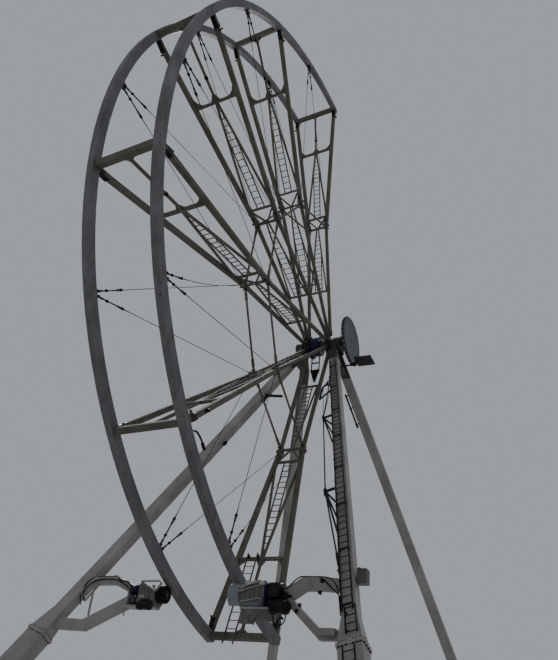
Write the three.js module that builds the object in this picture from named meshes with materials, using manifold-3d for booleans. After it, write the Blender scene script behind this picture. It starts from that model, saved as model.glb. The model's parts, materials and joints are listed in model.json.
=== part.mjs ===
// Part-built fairground observation wheel on a four-legged tower, in millimetres, +Z up.
import * as THREE from "three";
import { mergeVertices } from "three/addons/utils/BufferGeometryUtils.js";
import Module from "manifold-3d";

const wasm = await Module();
wasm.setup();

// Wheel
const HUB_Z = 18364;
const RIM_R = 15000, RIM_DEEP = 300, RIM_WIDE = 220, RIM_Y = 1174;
const FIRST_ANGLE = 102.53, BAY = 30;
const SPOKES = ["d", "c", "b", "a", "e", "f"];
const TIE_R = 12200, MID_R = 7690, MID_Y = 566, SPLICE_R = 7010, BEAM_R = 3080;
const CHORD = 170, PLATE = 90, HUB_CHORD_Y = 570, HUB_CHORD_R = 480;
const STRUT_R = 6980, CABLE_R = 7100, STAY_APART = 75, SLACK = 400;

// Hub and tower
const AXLE_R = 180, AXLE_END = 1120, SLEEVE_R = 250, FLANGE_R = 600, RUNNING = 5.2, SEAT = 0.6;
const LEG_TOP_X = 60, LEG_TOP_Y = 728, FOOT_X = 9761, FOOT_Y = 5883, LEG_WIDE = 345, LEG_DEEP = 412;
const HEAD_BOTTOM = 16700, HEAD_IN = 790, HEAD_OUT = 1180;
const FLANGE_Z = 3420, SHOE_TOP = 4120, SHOE_WIDE = 490, SHOE_DEEP = 650, FOOT_SIZE = 1100, FOOT_THICK = 60;
const DISC_R = 1215, DISC_Y = 1625;

// Drives
const TYRE_R = 250, TYRE_WIDE = 200, TYRE_Y = 1280, TYRE_ANGLE = 242.2;
const GAP = 0.3;

const STEEL = [0xc9c9c4, 0.5, 0.3], DARK = [0x24252a, 0.5, 0.5], BLUE = [0x1c2450, 0.4, 0.3];
const GREY = [0x7f8388, 0.5, 0.3], RUBBER = [0x141414, 0.9, 0], CABLE = [0x5a5c60, 0.4, 0.8];

const V = (x, y, z) => new THREE.Vector3(x, y, z);
const AXIAL = V(0, 1, 0);
const rad = THREE.MathUtils.degToRad;

// Shapes
function solid(geometry) {
  const plain = geometry.clone();
  plain.deleteAttribute("normal");
  plain.deleteAttribute("uv");
  const merged = mergeVertices(plain, 1e-4);
  return new wasm.Manifold(new wasm.Mesh({
    numProp: 3,
    vertProperties: new Float32Array(merged.attributes.position.array),
    triVerts: new Uint32Array(merged.index.array),
  }));
}

function join(list) {
  return list.reduce((whole, piece) => whole.add(piece));
}

// Square-ended bar from a to b, as wide as said along the side direction; it may taper to b
function bar(a, b, wide, deep, side = AXIAL, endWide = wide, endDeep = deep) {
  const along = b.clone().sub(a);
  const geometry = new THREE.BoxGeometry(wide, deep, along.length());
  const corner = geometry.attributes.position;
  for (let i = 0; i < corner.count; i++) {
    if (corner.getZ(i) > 0) corner.setXY(i, (corner.getX(i) * endWide) / wide, (corner.getY(i) * endDeep) / deep);
  }
  along.normalize();
  const across = side.clone().addScaledVector(along, -side.dot(along)).normalize();
  const basis = new THREE.Matrix4().makeBasis(across, along.clone().cross(across), along);
  basis.setPosition(a.clone().add(b).multiplyScalar(0.5));
  return solid(geometry.applyMatrix4(basis));
}

function rod(a, b, radius, sides = 8, endRadius = radius) {
  const along = b.clone().sub(a);
  const geometry = new THREE.CylinderGeometry(endRadius, radius, along.length(), sides);
  const turn = new THREE.Quaternion().setFromUnitVectors(AXIAL, along.normalize());
  geometry.applyQuaternion(turn);
  const middle = a.clone().add(b).multiplyScalar(0.5);
  return solid(geometry.translate(middle.x, middle.y, middle.z));
}

function block(x0, x1, y0, y1, z0, z1) {
  const geometry = new THREE.BoxGeometry(x1 - x0, y1 - y0, z1 - z0);
  return solid(geometry.translate((x0 + x1) / 2, (y0 + y1) / 2, (z0 + z1) / 2));
}

// Polygon in the XZ plane, thick along Y
function slab(points, y0, y1) {
  const shape = new THREE.Shape(points.map(([x, z]) => new THREE.Vector2(x, z)));
  const geometry = new THREE.ExtrudeGeometry(shape, { depth: y1 - y0, bevelEnabled: false });
  return solid(geometry.rotateX(Math.PI / 2).translate(0, y1, 0));
}

function arc(radius, from, to, steps) {
  const points = [];
  for (let i = 0; i <= steps; i++) {
    const t = rad(from + ((to - from) * i) / steps);
    points.push([radius * Math.cos(t), radius * Math.sin(t)]);
  }
  return points;
}

function sector(inner, outer, from, to, steps, y0, y1) {
  return slab([...arc(outer, from, to, steps), ...arc(inner, to, from, steps)], y0, y1);
}

// Nodes
const root = new THREE.Group();
root.name = "observation_wheel";

function place(name, shape, [colour, roughness, metalness]) {
  const mesh = shape.getMesh();
  const geometry = new THREE.BufferGeometry();
  geometry.setAttribute("position", new THREE.BufferAttribute(new Float32Array(mesh.vertProperties), 3));
  geometry.setIndex(new THREE.BufferAttribute(new Uint32Array(mesh.triVerts), 1));
  const node = new THREE.Mesh(geometry, new THREE.MeshStandardMaterial({ color: colour, roughness, metalness }));
  node.name = name;
  root.add(node);
}

// Wheel pieces are drawn with the spoke along +X, then turned about the axle
const turned = (shape, degrees) => shape.rotate([0, -degrees, 0]).translate([0, 0, HUB_Z]);
const spokeAngle = (index) => FIRST_ANGLE + BAY * index;
const chordY = (r) => MID_Y + ((RIM_Y - MID_Y) * (r - MID_R)) / (RIM_R - RIM_DEEP / 2 - MID_R);

function bothSides(make) {
  return [make(1), make(-1)];
}

function outerChord(side) {
  const inner = RIM_R - RIM_DEEP / 2;
  const top = V(inner - 60, side * chordY(inner - 60), 0);
  const chord = bar(top, V(SPLICE_R, side * chordY(SPLICE_R), 0), CHORD, CHORD);
  const y = side * (RIM_Y - 15);
  const clevis = block(inner - 360, inner - 2.4, y - 75, y + 75, -80, 80);
  return chord.add(clevis);
}

function innerChord(side) {
  const start = V(SPLICE_R + 60, side * chordY(SPLICE_R), 0);
  const y = side * HUB_CHORD_Y;
  const chord = bar(start, V(FLANGE_R + 30, y, 0), CHORD - 30, CHORD - 30);
  return chord.add(block(HUB_CHORD_R, FLANGE_R + 180, y - 70, y + 70, -70, 70));
}

// Rounded web in the corner between the tie and a chord
function tieGusset(side) {
  const y = chordY(TIE_R + 250) - 40;
  const curve = [];
  for (let i = 0; i <= 4; i++) {
    const t = rad(90 * (i / 4));
    curve.push([TIE_R + 560 - 520 * Math.sin(t), y - 20 - 480 * (1 - Math.cos(t))]);
  }
  const shape = new THREE.Shape();
  shape.moveTo(TIE_R, y + 60);
  shape.lineTo(TIE_R + 560, y + 20);
  curve.forEach(([x, v]) => shape.lineTo(x, v));
  shape.lineTo(TIE_R - 20, y - 500);
  const geometry = new THREE.ExtrudeGeometry(shape, { depth: 60, bevelEnabled: false });
  const web = solid(geometry.translate(0, 0, -30));
  return side > 0 ? web : web.mirror([0, 1, 0]);
}

function outerBracing() {
  const reach = RIM_Y - RIM_WIDE / 2 - GAP;
  const tieY = chordY(TIE_R);
  return [
    block(RIM_R - 100, RIM_R + 100, -reach, reach, -100, 100),
    block(TIE_R - 55, TIE_R + 55, -tieY, tieY, -55, 55),
    rod(V(TIE_R, 0, 0), V(RIM_R, 0, 0), 58),
    rod(V(RIM_R - 320, 0, 0), V(RIM_R - 90, 0, 0), 58, 8, 105),
    ...bothSides((s) => bar(V(TIE_R - 30, s * 30, 0), V(MID_R, s * (MID_Y - 10), 0), 80, 80)),
    ...bothSides((s) => bar(V(TIE_R - 1190, s * 170, 0), V(MID_R, s * 170, 0), 45, 45)),
    ...bothSides(tieGusset),
  ];
}

function midPanel() {
  const y = chordY(SPLICE_R);
  return [
    bar(V(MID_R, -MID_Y, 0), V(MID_R, MID_Y, 0), 90, 90, V(1, 0, 0)),
    bar(V(SPLICE_R, -y, 0), V(SPLICE_R, y, 0), 90, 90, V(1, 0, 0)),
    ...bothSides((s) => bar(V(MID_R, s * (MID_Y - 20), 0), V(SPLICE_R, 0, 0), 70, 70)),
    ...bothSides((s) => block(SPLICE_R - 170, SPLICE_R + 350, s * y - 95, s * y + 95, -PLATE, PLATE)),
  ];
}

// Long V from the splice to the inner beam, with ladder rails where it has opened wide enough
function innerBracing() {
  return [
    bar(V(BEAM_R, -HUB_CHORD_Y, 0), V(BEAM_R, HUB_CHORD_Y, 0), 80, 80, V(1, 0, 0)),
    ...bothSides((s) => bar(V(SPLICE_R, s * 45, 0), V(BEAM_R, s * 430, 0), 62, 62)),
    ...bothSides((s) => bar(V(SPLICE_R - 1430, s * 185, 0), V(BEAM_R, s * 185, 0), 40, 40)),
  ];
}

function spoke() {
  return join([
    ...bothSides(outerChord), ...bothSides(innerChord),
    ...outerBracing(), ...midPanel(), ...innerBracing(),
  ]);
}

// A bay's rim box; the open ends of the part-built rim reach just past the last spoke
function rimSegment(side, first, last) {
  const slit = (GAP / 2 / RIM_R) * (180 / Math.PI);
  const past = 0.6;
  const turns = [first ? [-BAY / 2 - past] : [], last ? [BAY / 2 + past] : []];
  const steps = 12;
  const inside = [];
  for (let i = 0; i <= steps; i++) {
    const free = (i === 0 && !first) ? slit : (i === steps && !last) ? -slit : 0;
    inside.push(-BAY / 2 + (BAY * i) / steps + free);
  }
  const angles = [...turns[0], ...inside, ...turns[1]];
  const curve = (r) => angles.map((t) => [r * Math.cos(rad(t)), r * Math.sin(rad(t))]);
  const outline = [...curve(RIM_R + RIM_DEEP / 2), ...curve(RIM_R - RIM_DEEP / 2).reverse()];
  const y = side * RIM_Y;
  return slab(outline, y - RIM_WIDE / 2, y + RIM_WIDE / 2);
}

// Keeps what lies between the facing sides of two neighbouring spokes
function betweenSpokes(shape, half) {
  const t = rad(BAY / 2);
  const clear = half + GAP;
  const low = shape.trimByPlane([Math.sin(t), 0, Math.cos(t)], clear);
  return low.trimByPlane([Math.sin(t), 0, -Math.cos(t)], clear);
}

const onSpoke = (r, y, turn) => V(r * Math.cos(rad(turn)), y, r * Math.sin(rad(turn)));

function ringStrut(side) {
  const y = side * chordY(SPLICE_R);
  const a = onSpoke(STRUT_R, y, -BAY / 2), b = onSpoke(STRUT_R, y, BAY / 2);
  const lugs = [a, b].map((end, i) => {
    const inward = (i ? a : b).clone().sub(end).normalize().multiplyScalar(260);
    return bar(end, end.clone().add(inward), 50, 110);
  });
  return betweenSpokes(join([rod(a, b, 46), ...lugs]), PLATE);
}

// One stay: thick adjuster and turnbuckle near the rim, thin wire on to the spoke
function stay(start, end, sag) {
  const point = (t) => start.clone().lerp(end, t).addScaledVector(sag, 4 * t * (1 - t));
  const list = [rod(start, point(0.025), 34, 6), rod(point(0.02), point(0.1), 20, 6)];
  list.push(rod(point(0.095), point(0.125), 36, 6));
  const cuts = sag.length() ? [0.12, 0.24, 0.4, 0.6, 0.8, 1] : [0.12, 1];
  for (let i = 1; i < cuts.length; i++) {
    list.push(rod(point(cuts[i - 1] - 0.004), point(cuts[i]), 12, 6));
  }
  return list;
}

// Bracket inside the middle of the rim box, with a lug and a stay to each neighbouring spoke
function stayPair(side, sag) {
  const inner = RIM_R - RIM_DEEP / 2 - GAP - (STAY_APART + 50) * Math.tan(rad(BAY / 24));
  const y = side * RIM_Y, half = STAY_APART + 50;
  const list = [block(inner - 40, inner, y - 80, y + 80, -half, half)];
  for (const [s, hang] of [[1, V(0, 0, 0)], [-1, sag]]) {
    const lug = s * STAY_APART;
    list.push(block(inner - 170, inner, y - 40, y + 40, lug - 40, lug + 40));
    list.push(...stay(V(inner - 130, y, lug), onSpoke(CABLE_R, side * chordY(CABLE_R), (s * BAY) / 2), hang));
  }
  return betweenSpokes(join(list), PLATE);
}

// Round hole along Y whose flats face the shaft's corners and clear them by the gap
function bore(y0, y1, shaft, gap) {
  return rod(V(0, y0, 0), V(0, y1, 0), (shaft + gap) / Math.cos(Math.PI / 24), 24).rotate([0, 7.5, 0]);
}

function hub() {
  const flange = (s) => rod(V(0, s * 420, 0), V(0, s * (HUB_CHORD_Y - 70 - GAP), 0), FLANGE_R, 24);
  const end = HEAD_IN - RUNNING;
  const sleeve = rod(V(0, -end, 0), V(0, end, 0), SLEEVE_R, 24);
  const whole = join([sleeve, flange(1), flange(-1)]);
  return whole.subtract(bore(-900, 900, AXLE_R, SEAT));
}

function hubDrum() {
  const hole = rod(V(0, -500, 0), V(0, 500, 0), SLEEVE_R + 0.35, 24);
  return rod(V(0, -60, 0), V(0, 400, 0), 500, 24).subtract(hole);
}

function buildWheel() {
  place("hub", hub().translate([0, 0, HUB_Z]), STEEL);
  place("hub_drum", hubDrum().translate([0, 0, HUB_Z]), BLUE);
  const sides = [["near", -1], ["far", 1]];
  SPOKES.forEach((letter, i) => place(`spoke_${letter}`, turned(spoke(), spokeAngle(i)), STEEL));
  for (let i = 0; i < SPOKES.length - 1; i++) {
    const bay = SPOKES[i] + SPOKES[i + 1];
    const last = i === SPOKES.length - 2;
    const middle = spokeAngle(i) + BAY / 2;
    for (const [word, side] of sides) {
      const slack = side < 0 && bay === "ae" ? SLACK : 0;
      place(`rim_${word}_${bay}`, turned(rimSegment(side, i === 0, last), middle), STEEL);
      place(`ring_strut_${word}_${bay}`, turned(ringStrut(side), middle), STEEL);
      const down = V(Math.cos(rad(-90 - middle)), 0, Math.sin(rad(-90 - middle))).multiplyScalar(slack);
      place(`stays_${word}_${bay}`, turned(stayPair(side, down), middle), CABLE);
    }
  }
}

// Tower: everything is drawn for the near side (-Y) and mirrored for the far side
const legShare = (z) => (HUB_Z - z) / HUB_Z;
const legX = (z) => LEG_TOP_X + (FOOT_X - LEG_TOP_X) * legShare(z);
const legY = (z) => LEG_TOP_Y + (FOOT_Y - LEG_TOP_Y) * legShare(z);
const legPoint = (side, z) => V(side * legX(z), -legY(z), z);
const PLANE_TILT = (FOOT_Y - LEG_TOP_Y) / HUB_Z;
const PLANE_NORMAL = V(0, 1, -PLANE_TILT).normalize();

// Deep is measured across the leg in its own plane's normal, wide along that plane
function legBar(side, z0, z1, wide, deep, endWide = wide, endDeep = deep) {
  return bar(legPoint(side, z0), legPoint(side, z1), deep, wide, PLANE_NORMAL, endDeep, endWide);
}

function level(shape, z0, z1) {
  return shape.trimByPlane([0, 0, 1], z0).trimByPlane([0, 0, -1], -z1);
}

// Bolted flange with the tapered shoe above it; the margin makes the cutter for pieces beside it
function shoe(side, margin) {
  const m = 2 * margin;
  const flange = legBar(side, FLANGE_Z - 45 - margin, FLANGE_Z + 45 + margin, SHOE_WIDE + 50 + m, SHOE_DEEP + 50 + m);
  const top = [LEG_WIDE + 10 + m, LEG_DEEP + 10 + m];
  return flange.add(legBar(side, FLANGE_Z, SHOE_TOP, SHOE_WIDE + m, SHOE_DEEP + m, ...top));
}

function leg(side) {
  const shaft = legBar(side, FLANGE_Z, HEAD_BOTTOM + 400, LEG_WIDE, LEG_DEEP);
  const lower = legBar(side, -600, FLANGE_Z, SHOE_WIDE - 10, SHOE_DEEP - 10);
  const x = side * legX(0), y = -legY(0), h = FOOT_SIZE / 2;
  const foot = block(x - h, x + h, y - h, y + h, 0, FOOT_THICK);
  return level(join([shaft, lower, shoe(side, 0), foot]), 0, HEAD_BOTTOM - GAP);
}

function head(webLow) {
  const stubs = [1, -1].map((s) => legBar(s, HEAD_BOTTOM - 400, HUB_Z - 60, LEG_WIDE - 20, LEG_DEEP - 20));
  const low = V(0, -legY(webLow), webLow), high = V(0, -legY(17800), 17800);
  const web = bar(low, high, 200, 2 * legX(webLow) - 60, PLANE_NORMAL, 200, 2 * legX(17800) - 60);
  const housing = slab([[-330, HUB_Z - 560], [330, HUB_Z - 560], [330, HUB_Z + 100], [170, HUB_Z + 280],
    [-170, HUB_Z + 280], [-330, HUB_Z + 100]], -HEAD_OUT, -HEAD_IN);
  const seat = rod(V(0, -AXLE_END - GAP, HUB_Z), V(0, 0, HUB_Z), AXLE_R + 0.35, 24);
  const body = join([...stubs, web, housing]).subtract(block(-2000, 2000, -HEAD_IN, 0, 0, 30000));
  return level(body.subtract(seat), HEAD_BOTTOM, 30000);
}

// Leg pieces are drawn along +Z from the foot: -X away from the other leg, +Y towards the wheel
const LEG_K = legPoint(-1, HUB_Z).distanceTo(legPoint(-1, 0)) / HUB_Z;
const LEG_FACE = LEG_DEEP / 2 + GAP, LEG_EDGE = LEG_WIDE / 2 + GAP;

function onLeg(shape) {
  const along = legPoint(-1, HUB_Z).sub(legPoint(-1, 0)).normalize();
  const out = PLANE_NORMAL.clone().cross(along).normalize();
  const frame = new THREE.Matrix4().makeBasis(out, PLANE_NORMAL, along);
  frame.setPosition(legPoint(-1, 0));
  return shape.transform(frame.elements);
}

// Rod held off the leg by two outriggers on the wheel side, each with three long diagonals
function trussRod() {
  const low = 5500 * LEG_K, high = 15300 * LEG_K, outriggers = [8600 * LEG_K, 12560 * LEG_K];
  const tip = 620, foot = LEG_FACE + 35;
  const ends = [[low, foot], [outriggers[0], tip], [outriggers[1], tip], [high, foot]];
  const list = [];
  for (let i = 1; i < ends.length; i++) {
    list.push(rod(V(0, ends[i - 1][1], ends[i - 1][0]), V(0, ends[i][1], ends[i][0]), 26, 6));
  }
  for (const z of outriggers) {
    list.push(block(-35, 35, LEG_FACE, tip + 30, z - 35, z + 35));
    for (const drop of [800, 1550, 2300]) {
      list.push(bar(V(0, LEG_FACE + 10, z - drop), V(0, tip - 10, z - 10), 56, 56));
    }
    list.push(block(-60, 60, LEG_FACE, LEG_FACE + 26, z - 2430, z + 110));
  }
  for (const z of [low, high]) list.push(block(-60, 60, LEG_FACE, LEG_FACE + 64, z - 130, z + 130));
  return onLeg(join(list).trimByPlane([0, 1, 0], LEG_FACE));
}

function ladder() {
  const z0 = (SHOE_TOP + 60) * LEG_K, z1 = 16300 * LEG_K, reach = -LEG_EDGE - 60;
  const list = [-145, 145].map((y) => block(reach - 42, reach, y - 16, y + 16, z0, z1));
  for (let z = z0 + 200; z < z1; z += 1900) {
    list.push(block(reach - 32, reach - 8, -140, 140, z - 16, z + 16));
    for (const y of [-145, 145]) list.push(block(reach - 20, -LEG_EDGE, y - 10, y + 10, z - 24, z + 24));
  }
  return onLeg(join(list));
}

function discAndBoss() {
  return rod(V(0, -DISC_Y + 65, HUB_Z), V(0, -DISC_Y - 65, HUB_Z), DISC_R, 32)
    .add(rod(V(0, -HEAD_OUT - GAP, HUB_Z), V(0, -DISC_Y, HUB_Z), 150, 12));
}

// Keeps what lies outside a plane that is parallel to the near legs' own plane
function outsideLegs(shape, point) {
  const n = PLANE_NORMAL;
  return shape.trimByPlane([-n.x, -n.y, -n.z], -n.dot(point));
}

// Lamp panel on an arm that passes under the disc
function floodPanel() {
  const z = HUB_Z - DISC_R - 205, bend = V(0, -1840, z - 20);
  const arm = bar(V(0, -legY(z), z), bend.clone().add(V(0, -20, 0)), 60, 60, V(1, 0, 0));
  const rise = bar(bend, V(0, -2010, 17060), 60, 60, V(1, 0, 0));
  const lamp = bar(V(0, -1950, 17078), V(0, -2776, 17040), 737, 70, V(1, 0, 0));
  const web = V(0, -legY(17000), 17000).addScaledVector(PLANE_NORMAL, -100 - GAP);
  return outsideLegs(join([arm, rise, lamp]), web);
}

function speaker() {
  const n = PLANE_NORMAL, c = legPoint(-1, 5144).addScaledVector(n, -397);
  const box = bar(c.clone().add(V(0, 0, -190)), c.clone().add(V(0, 0, 190)), 260, 300, AXIAL);
  const arm = bar(c, c.clone().addScaledVector(n, 300), 60, 60, V(0, 0, 1));
  return outsideLegs(box.add(arm), legPoint(-1, 5144).addScaledVector(n, -LEG_FACE));
}

// Drives: near-side coordinates, y grows away from the wheel on -Y
const TYRE_RADIUS_AT = RIM_R + RIM_DEEP / 2 + RUNNING + TYRE_R;
const TYRE_X = TYRE_RADIUS_AT * Math.cos(rad(TYRE_ANGLE));
const TYRE_Z = HUB_Z + TYRE_RADIUS_AT * Math.sin(rad(TYRE_ANGLE));
const GEAR_IN = 1420, GEAR_DROP = 334, GEAR_TOP = 356, GEAR_HALF = 230, CHAMFER = 90;
const NEAR_DRIVE = { gearOut: 2150, slope: 0, cans: [[143, 2660, 190], [-187, 2700, 137]], plate: 2710 };
const FAR_DRIVE = { gearOut: 2040, slope: 0.28, cans: [[126, 2440, 140], [-179, 2380, 125]], plate: 2450 };

function tyre() {
  const at = (y) => V(TYRE_X, -y, TYRE_Z);
  return rod(at(TYRE_Y + TYRE_WIDE / 2), at(TYRE_Y - TYRE_WIDE / 2), TYRE_R, 24)
    .add(rod(at(GEAR_IN + 200), at(TYRE_Y), 60, 12));
}

// A chamfered casing; its top may slope down towards the tyre, and it may carry the tyre's guard
function gearbox({ gearOut, slope }, guard) {
  const low = -GEAR_DROP, h = GEAR_HALF, c = CHAMFER;
  const section = [[-h, low + c], [-h + c, low], [h - c, low], [h, low + c],
    [h, GEAR_TOP - c], [h - c, GEAR_TOP], [-h + c, GEAR_TOP], [-h, GEAR_TOP - c]];
  const list = [slab(section, -gearOut, -GEAR_IN)];
  if (guard) {
    list.push(sector(TYRE_R + 65, TYRE_R + 90, ...guard, 8, -GEAR_IN, -1090));
    list.push(sector(100, TYRE_R + 90, ...guard, 8, -GEAR_IN, -GEAR_IN + 30));
  }
  const tilt = V(0, -slope, -1).normalize(), edge = V(0, -gearOut, slope ? 300 : GEAR_TOP);
  const whole = join(list).subtract(bore(-GEAR_IN - 220, 0, 60, SEAT));
  return whole.trimByPlane(tilt.toArray(), tilt.dot(edge)).translate([TYRE_X, 0, TYRE_Z]);
}

function motors({ gearOut, cans }) {
  const y = -gearOut - GAP, cx = TYRE_X, half = GEAR_HALF - 50;
  const can = ([z, end, radius]) => rod(V(cx, y, TYRE_Z + z), V(cx, -end, TYRE_Z + z), radius, 16);
  const flange = block(cx - half, cx + half, y - 50, y, TYRE_Z - GEAR_DROP + 20, TYRE_Z + 280);
  return join([flange, ...cans.map(can)]);
}

// Bars along a path, each but the last run a little past its end so that the corners close
function beam(path, deep) {
  return path.slice(1).map((end, i) => {
    const over = end.clone().sub(path[i]).setLength(i < path.length - 2 ? deep * 0.25 : 0);
    return bar(path[i], end.clone().add(over), 200, deep, V(1, 0, 0));
  });
}

// Bent arm from the leg to the drive: an upper and a lower beam, an end plate and a tray
function driveArm({ plate: out }, upper, upperDeep, lower, lowerDeep) {
  const x = TYRE_X, plate = -out, under = TYRE_Z - GEAR_DROP - GAP;
  const beams = join([...beam(upper, upperDeep), ...beam(lower, lowerDeep)]).trimByPlane([0, -1, 0], -plate);
  const whole = join([beams, block(x - 150, x + 150, plate - 50, plate, under - 60, 4950),
    block(x - 230, x + 230, plate - 50, -GEAR_IN - 60, under - 60, under)]);
  const p = legPoint(-1, 0).addScaledVector(PLANE_NORMAL, LEG_FACE);
  return whole.trimByPlane(PLANE_NORMAL.toArray(), PLANE_NORMAL.dot(p)).subtract(shoe(-1, GAP));
}

function nearArm() {
  const x = TYRE_X, root = -legX(3800);
  const upper = [V(x, -legY(4980), 4980), V(x, -3790, 5030), V(x, -3260, 5030), V(x, -2740, 4703)];
  const lower = [V(root, -legY(3800), 3690), V(root + 150, -3990, 3690), V(x, -2740, 4690)];
  const yoke = block(x - 110, x + 110, -2950, -NEAR_DRIVE.plate, 4570, 4950);
  return driveArm(NEAR_DRIVE, upper, 340, lower, 190).add(nearBracket(root)).add(yoke);
}

function nearBracket(root) {
  return block(root - 160, root + 200, -4420, -4020, 3690, 3850).subtract(shoe(-1, GAP));
}

function farArm() {
  const x = TYRE_X, root = -legX(3790);
  const upper = [V(x, -legY(4820), 4820), V(x, -3940, 5135), V(x, -3080, 5135), V(x, -2400, 4870)];
  const lower = [V(root, -legY(3790), 3760), V(root + 220, -3680, 3770), V(x, -2400, 4555)];
  return driveArm(FAR_DRIVE, upper, 235, lower, 320);
}

function buildTower() {
  const far = (shape) => shape.mirror([0, 1, 0]);
  for (const [word, side] of [["left", -1], ["right", 1]]) {
    place(`leg_near_${word}`, leg(side), STEEL);
    place(`leg_far_${word}`, far(leg(side)), STEEL);
  }
  place("axle", rod(V(0, -AXLE_END, HUB_Z), V(0, AXLE_END, HUB_Z), AXLE_R, 24), DARK);
  place("head_near", head(16720), STEEL);
  place("head_far", far(head(17250)), STEEL);
  place("truss_rod", trussRod(), DARK);
  place("leg_ladder", ladder(), DARK);
  place("hub_disc", discAndBoss(), GREY);
  place("flood_panel", floodPanel(), DARK);
  place("speaker_box", speaker(), GREY);
  place("drive_arm_near", nearArm(), STEEL);
  place("drive_arm_far", far(farArm()), STEEL);
  place("gearbox_near", gearbox(NEAR_DRIVE, [125, 245]), GREY);
  place("gearbox_far", far(gearbox(FAR_DRIVE)), GREY);
  place("motors_near", motors(NEAR_DRIVE), BLUE);
  place("motors_far", far(motors(FAR_DRIVE)), BLUE);
  place("drive_tyre_near", tyre(), RUBBER);
  place("drive_tyre_far", far(tyre()), RUBBER);
}

buildWheel();
buildTower();

// The row's origin is the middle of the box's bottom face
const box = new THREE.Box3().setFromObject(root);
const middleX = (box.min.x + box.max.x) / 2;
for (const node of root.children) node.geometry.translate(-middleX, 0, 0);

export default root;
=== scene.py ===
# %% [markdown]
# # A part-built fairground wheel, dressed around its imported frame
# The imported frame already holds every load-carrying member: rims, spokes, stays, hub, legs and
# drives. On the real object the eye also sees ladders, bolts, clevises, turnbuckles, hoses and
# weathered paint. They are made here, each riding on the body that carries it.

# %% Load the frame
import json
import math

import bmesh
import bpy
from mathutils import Matrix, Vector


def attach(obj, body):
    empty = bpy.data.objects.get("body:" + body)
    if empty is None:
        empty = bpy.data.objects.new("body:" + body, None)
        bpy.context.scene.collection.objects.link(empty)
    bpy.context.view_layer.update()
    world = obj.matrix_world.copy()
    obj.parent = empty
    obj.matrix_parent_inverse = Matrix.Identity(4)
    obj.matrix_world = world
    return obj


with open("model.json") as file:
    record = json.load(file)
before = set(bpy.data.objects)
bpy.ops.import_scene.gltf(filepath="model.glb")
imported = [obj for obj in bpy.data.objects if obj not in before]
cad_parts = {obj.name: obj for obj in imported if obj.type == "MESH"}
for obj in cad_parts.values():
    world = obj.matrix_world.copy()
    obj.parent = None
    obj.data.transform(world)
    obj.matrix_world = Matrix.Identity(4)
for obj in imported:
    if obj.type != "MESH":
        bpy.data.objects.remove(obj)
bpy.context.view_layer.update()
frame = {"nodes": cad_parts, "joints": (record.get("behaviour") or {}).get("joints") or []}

# %% [markdown]
# ## Where things are
# Every place follows from the wheel's own rules: a spoke every 30 degrees, chords that open
# towards the rim, and four legs that lean on straight lines. A matrix for each spoke, bay, leg
# and drive lets a detail be drawn once, in that member's own directions.

# %% Measures of the wheel and the tower, in metres
JOINTS = {joint["name"]: joint for joint in frame["joints"]}
HUB = Vector(JOINTS["wheel_spin"]["pos_m"])
TYRE_AXIS = Vector(JOINTS["tyre_near_spin"]["pos_m"])
RIM_R, RIM_HALF_DEEP, RIM_HALF_WIDE, RIM_Y = 15.0, 0.15, 0.11, 1.174
RIM_IN, RIM_OUT = RIM_R - RIM_HALF_DEEP, RIM_R + RIM_HALF_DEEP
FIRST_ANGLE, BAY, SPOKE_COUNT = 102.53, 30.0, 6
TIE_R, MID_R, MID_Y, SPLICE_R, BEAM_R = 12.2, 7.69, 0.566, 7.01, 3.08
HUB_CHORD_R, HUB_CHORD_Y = 0.63, 0.57
STRUT_R, CABLE_R, STAY_APART, STAY_START = 6.98, 7.1, 0.075, 14.717
LEG_TOP, LEG_FOOT = (0.06, 0.728), (9.761, 5.883)
FLANGE_Z, SHOE_TOP = 3.42, 4.12
print("hub at", [round(v, 4) for v in HUB])


def chord_y(r):
    """Half the distance between a spoke's two chords at radius r."""
    if r > SPLICE_R:
        return MID_Y + (RIM_Y - MID_Y) * (r - MID_R) / (RIM_IN - MID_R)
    inner = chord_y(SPLICE_R + 0.001)
    return inner + (HUB_CHORD_Y - inner) * (SPLICE_R - r) / (SPLICE_R - HUB_CHORD_R)


def polar(radius, degrees, y=0.0):
    """A point beside the axle, from its radius, its angle and its place along the axle."""
    turn = math.radians(degrees)
    return Vector((radius * math.cos(turn), y, radius * math.sin(turn)))


def shift(x, y, z):
    return Matrix.Translation((x, y, z))


AT_HUB = shift(*HUB)


def wheel_frame(degrees):
    """X outwards along the spoke or the middle of a bay, Y along the axle, Z along the rim."""
    return AT_HUB @ Matrix.Rotation(math.radians(-degrees), 4, "Y")


def leg_point(sx, sy, z):
    share = (HUB.z - z) / HUB.z
    x, y = (top + (foot - top) * share for top, foot in zip(LEG_TOP, LEG_FOOT))
    return Vector((HUB.x + sx * x, sy * y, z))


def leg_frame(sx, sy):
    """X up the leg from the ground, Y towards the wheel, Z away from the other leg."""
    foot = leg_point(sx, sy, 0)
    along = (leg_point(sx, sy, HUB.z) - foot).normalized()
    inwards = Vector((0, -sy, -(LEG_FOOT[1] - LEG_TOP[1]) / HUB.z)).normalized()
    away = along.cross(inwards)
    away = away if away.x * sx > 0 else -away
    return Matrix.Translation(foot) @ Matrix((along, inwards, away)).transposed().to_4x4()


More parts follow.
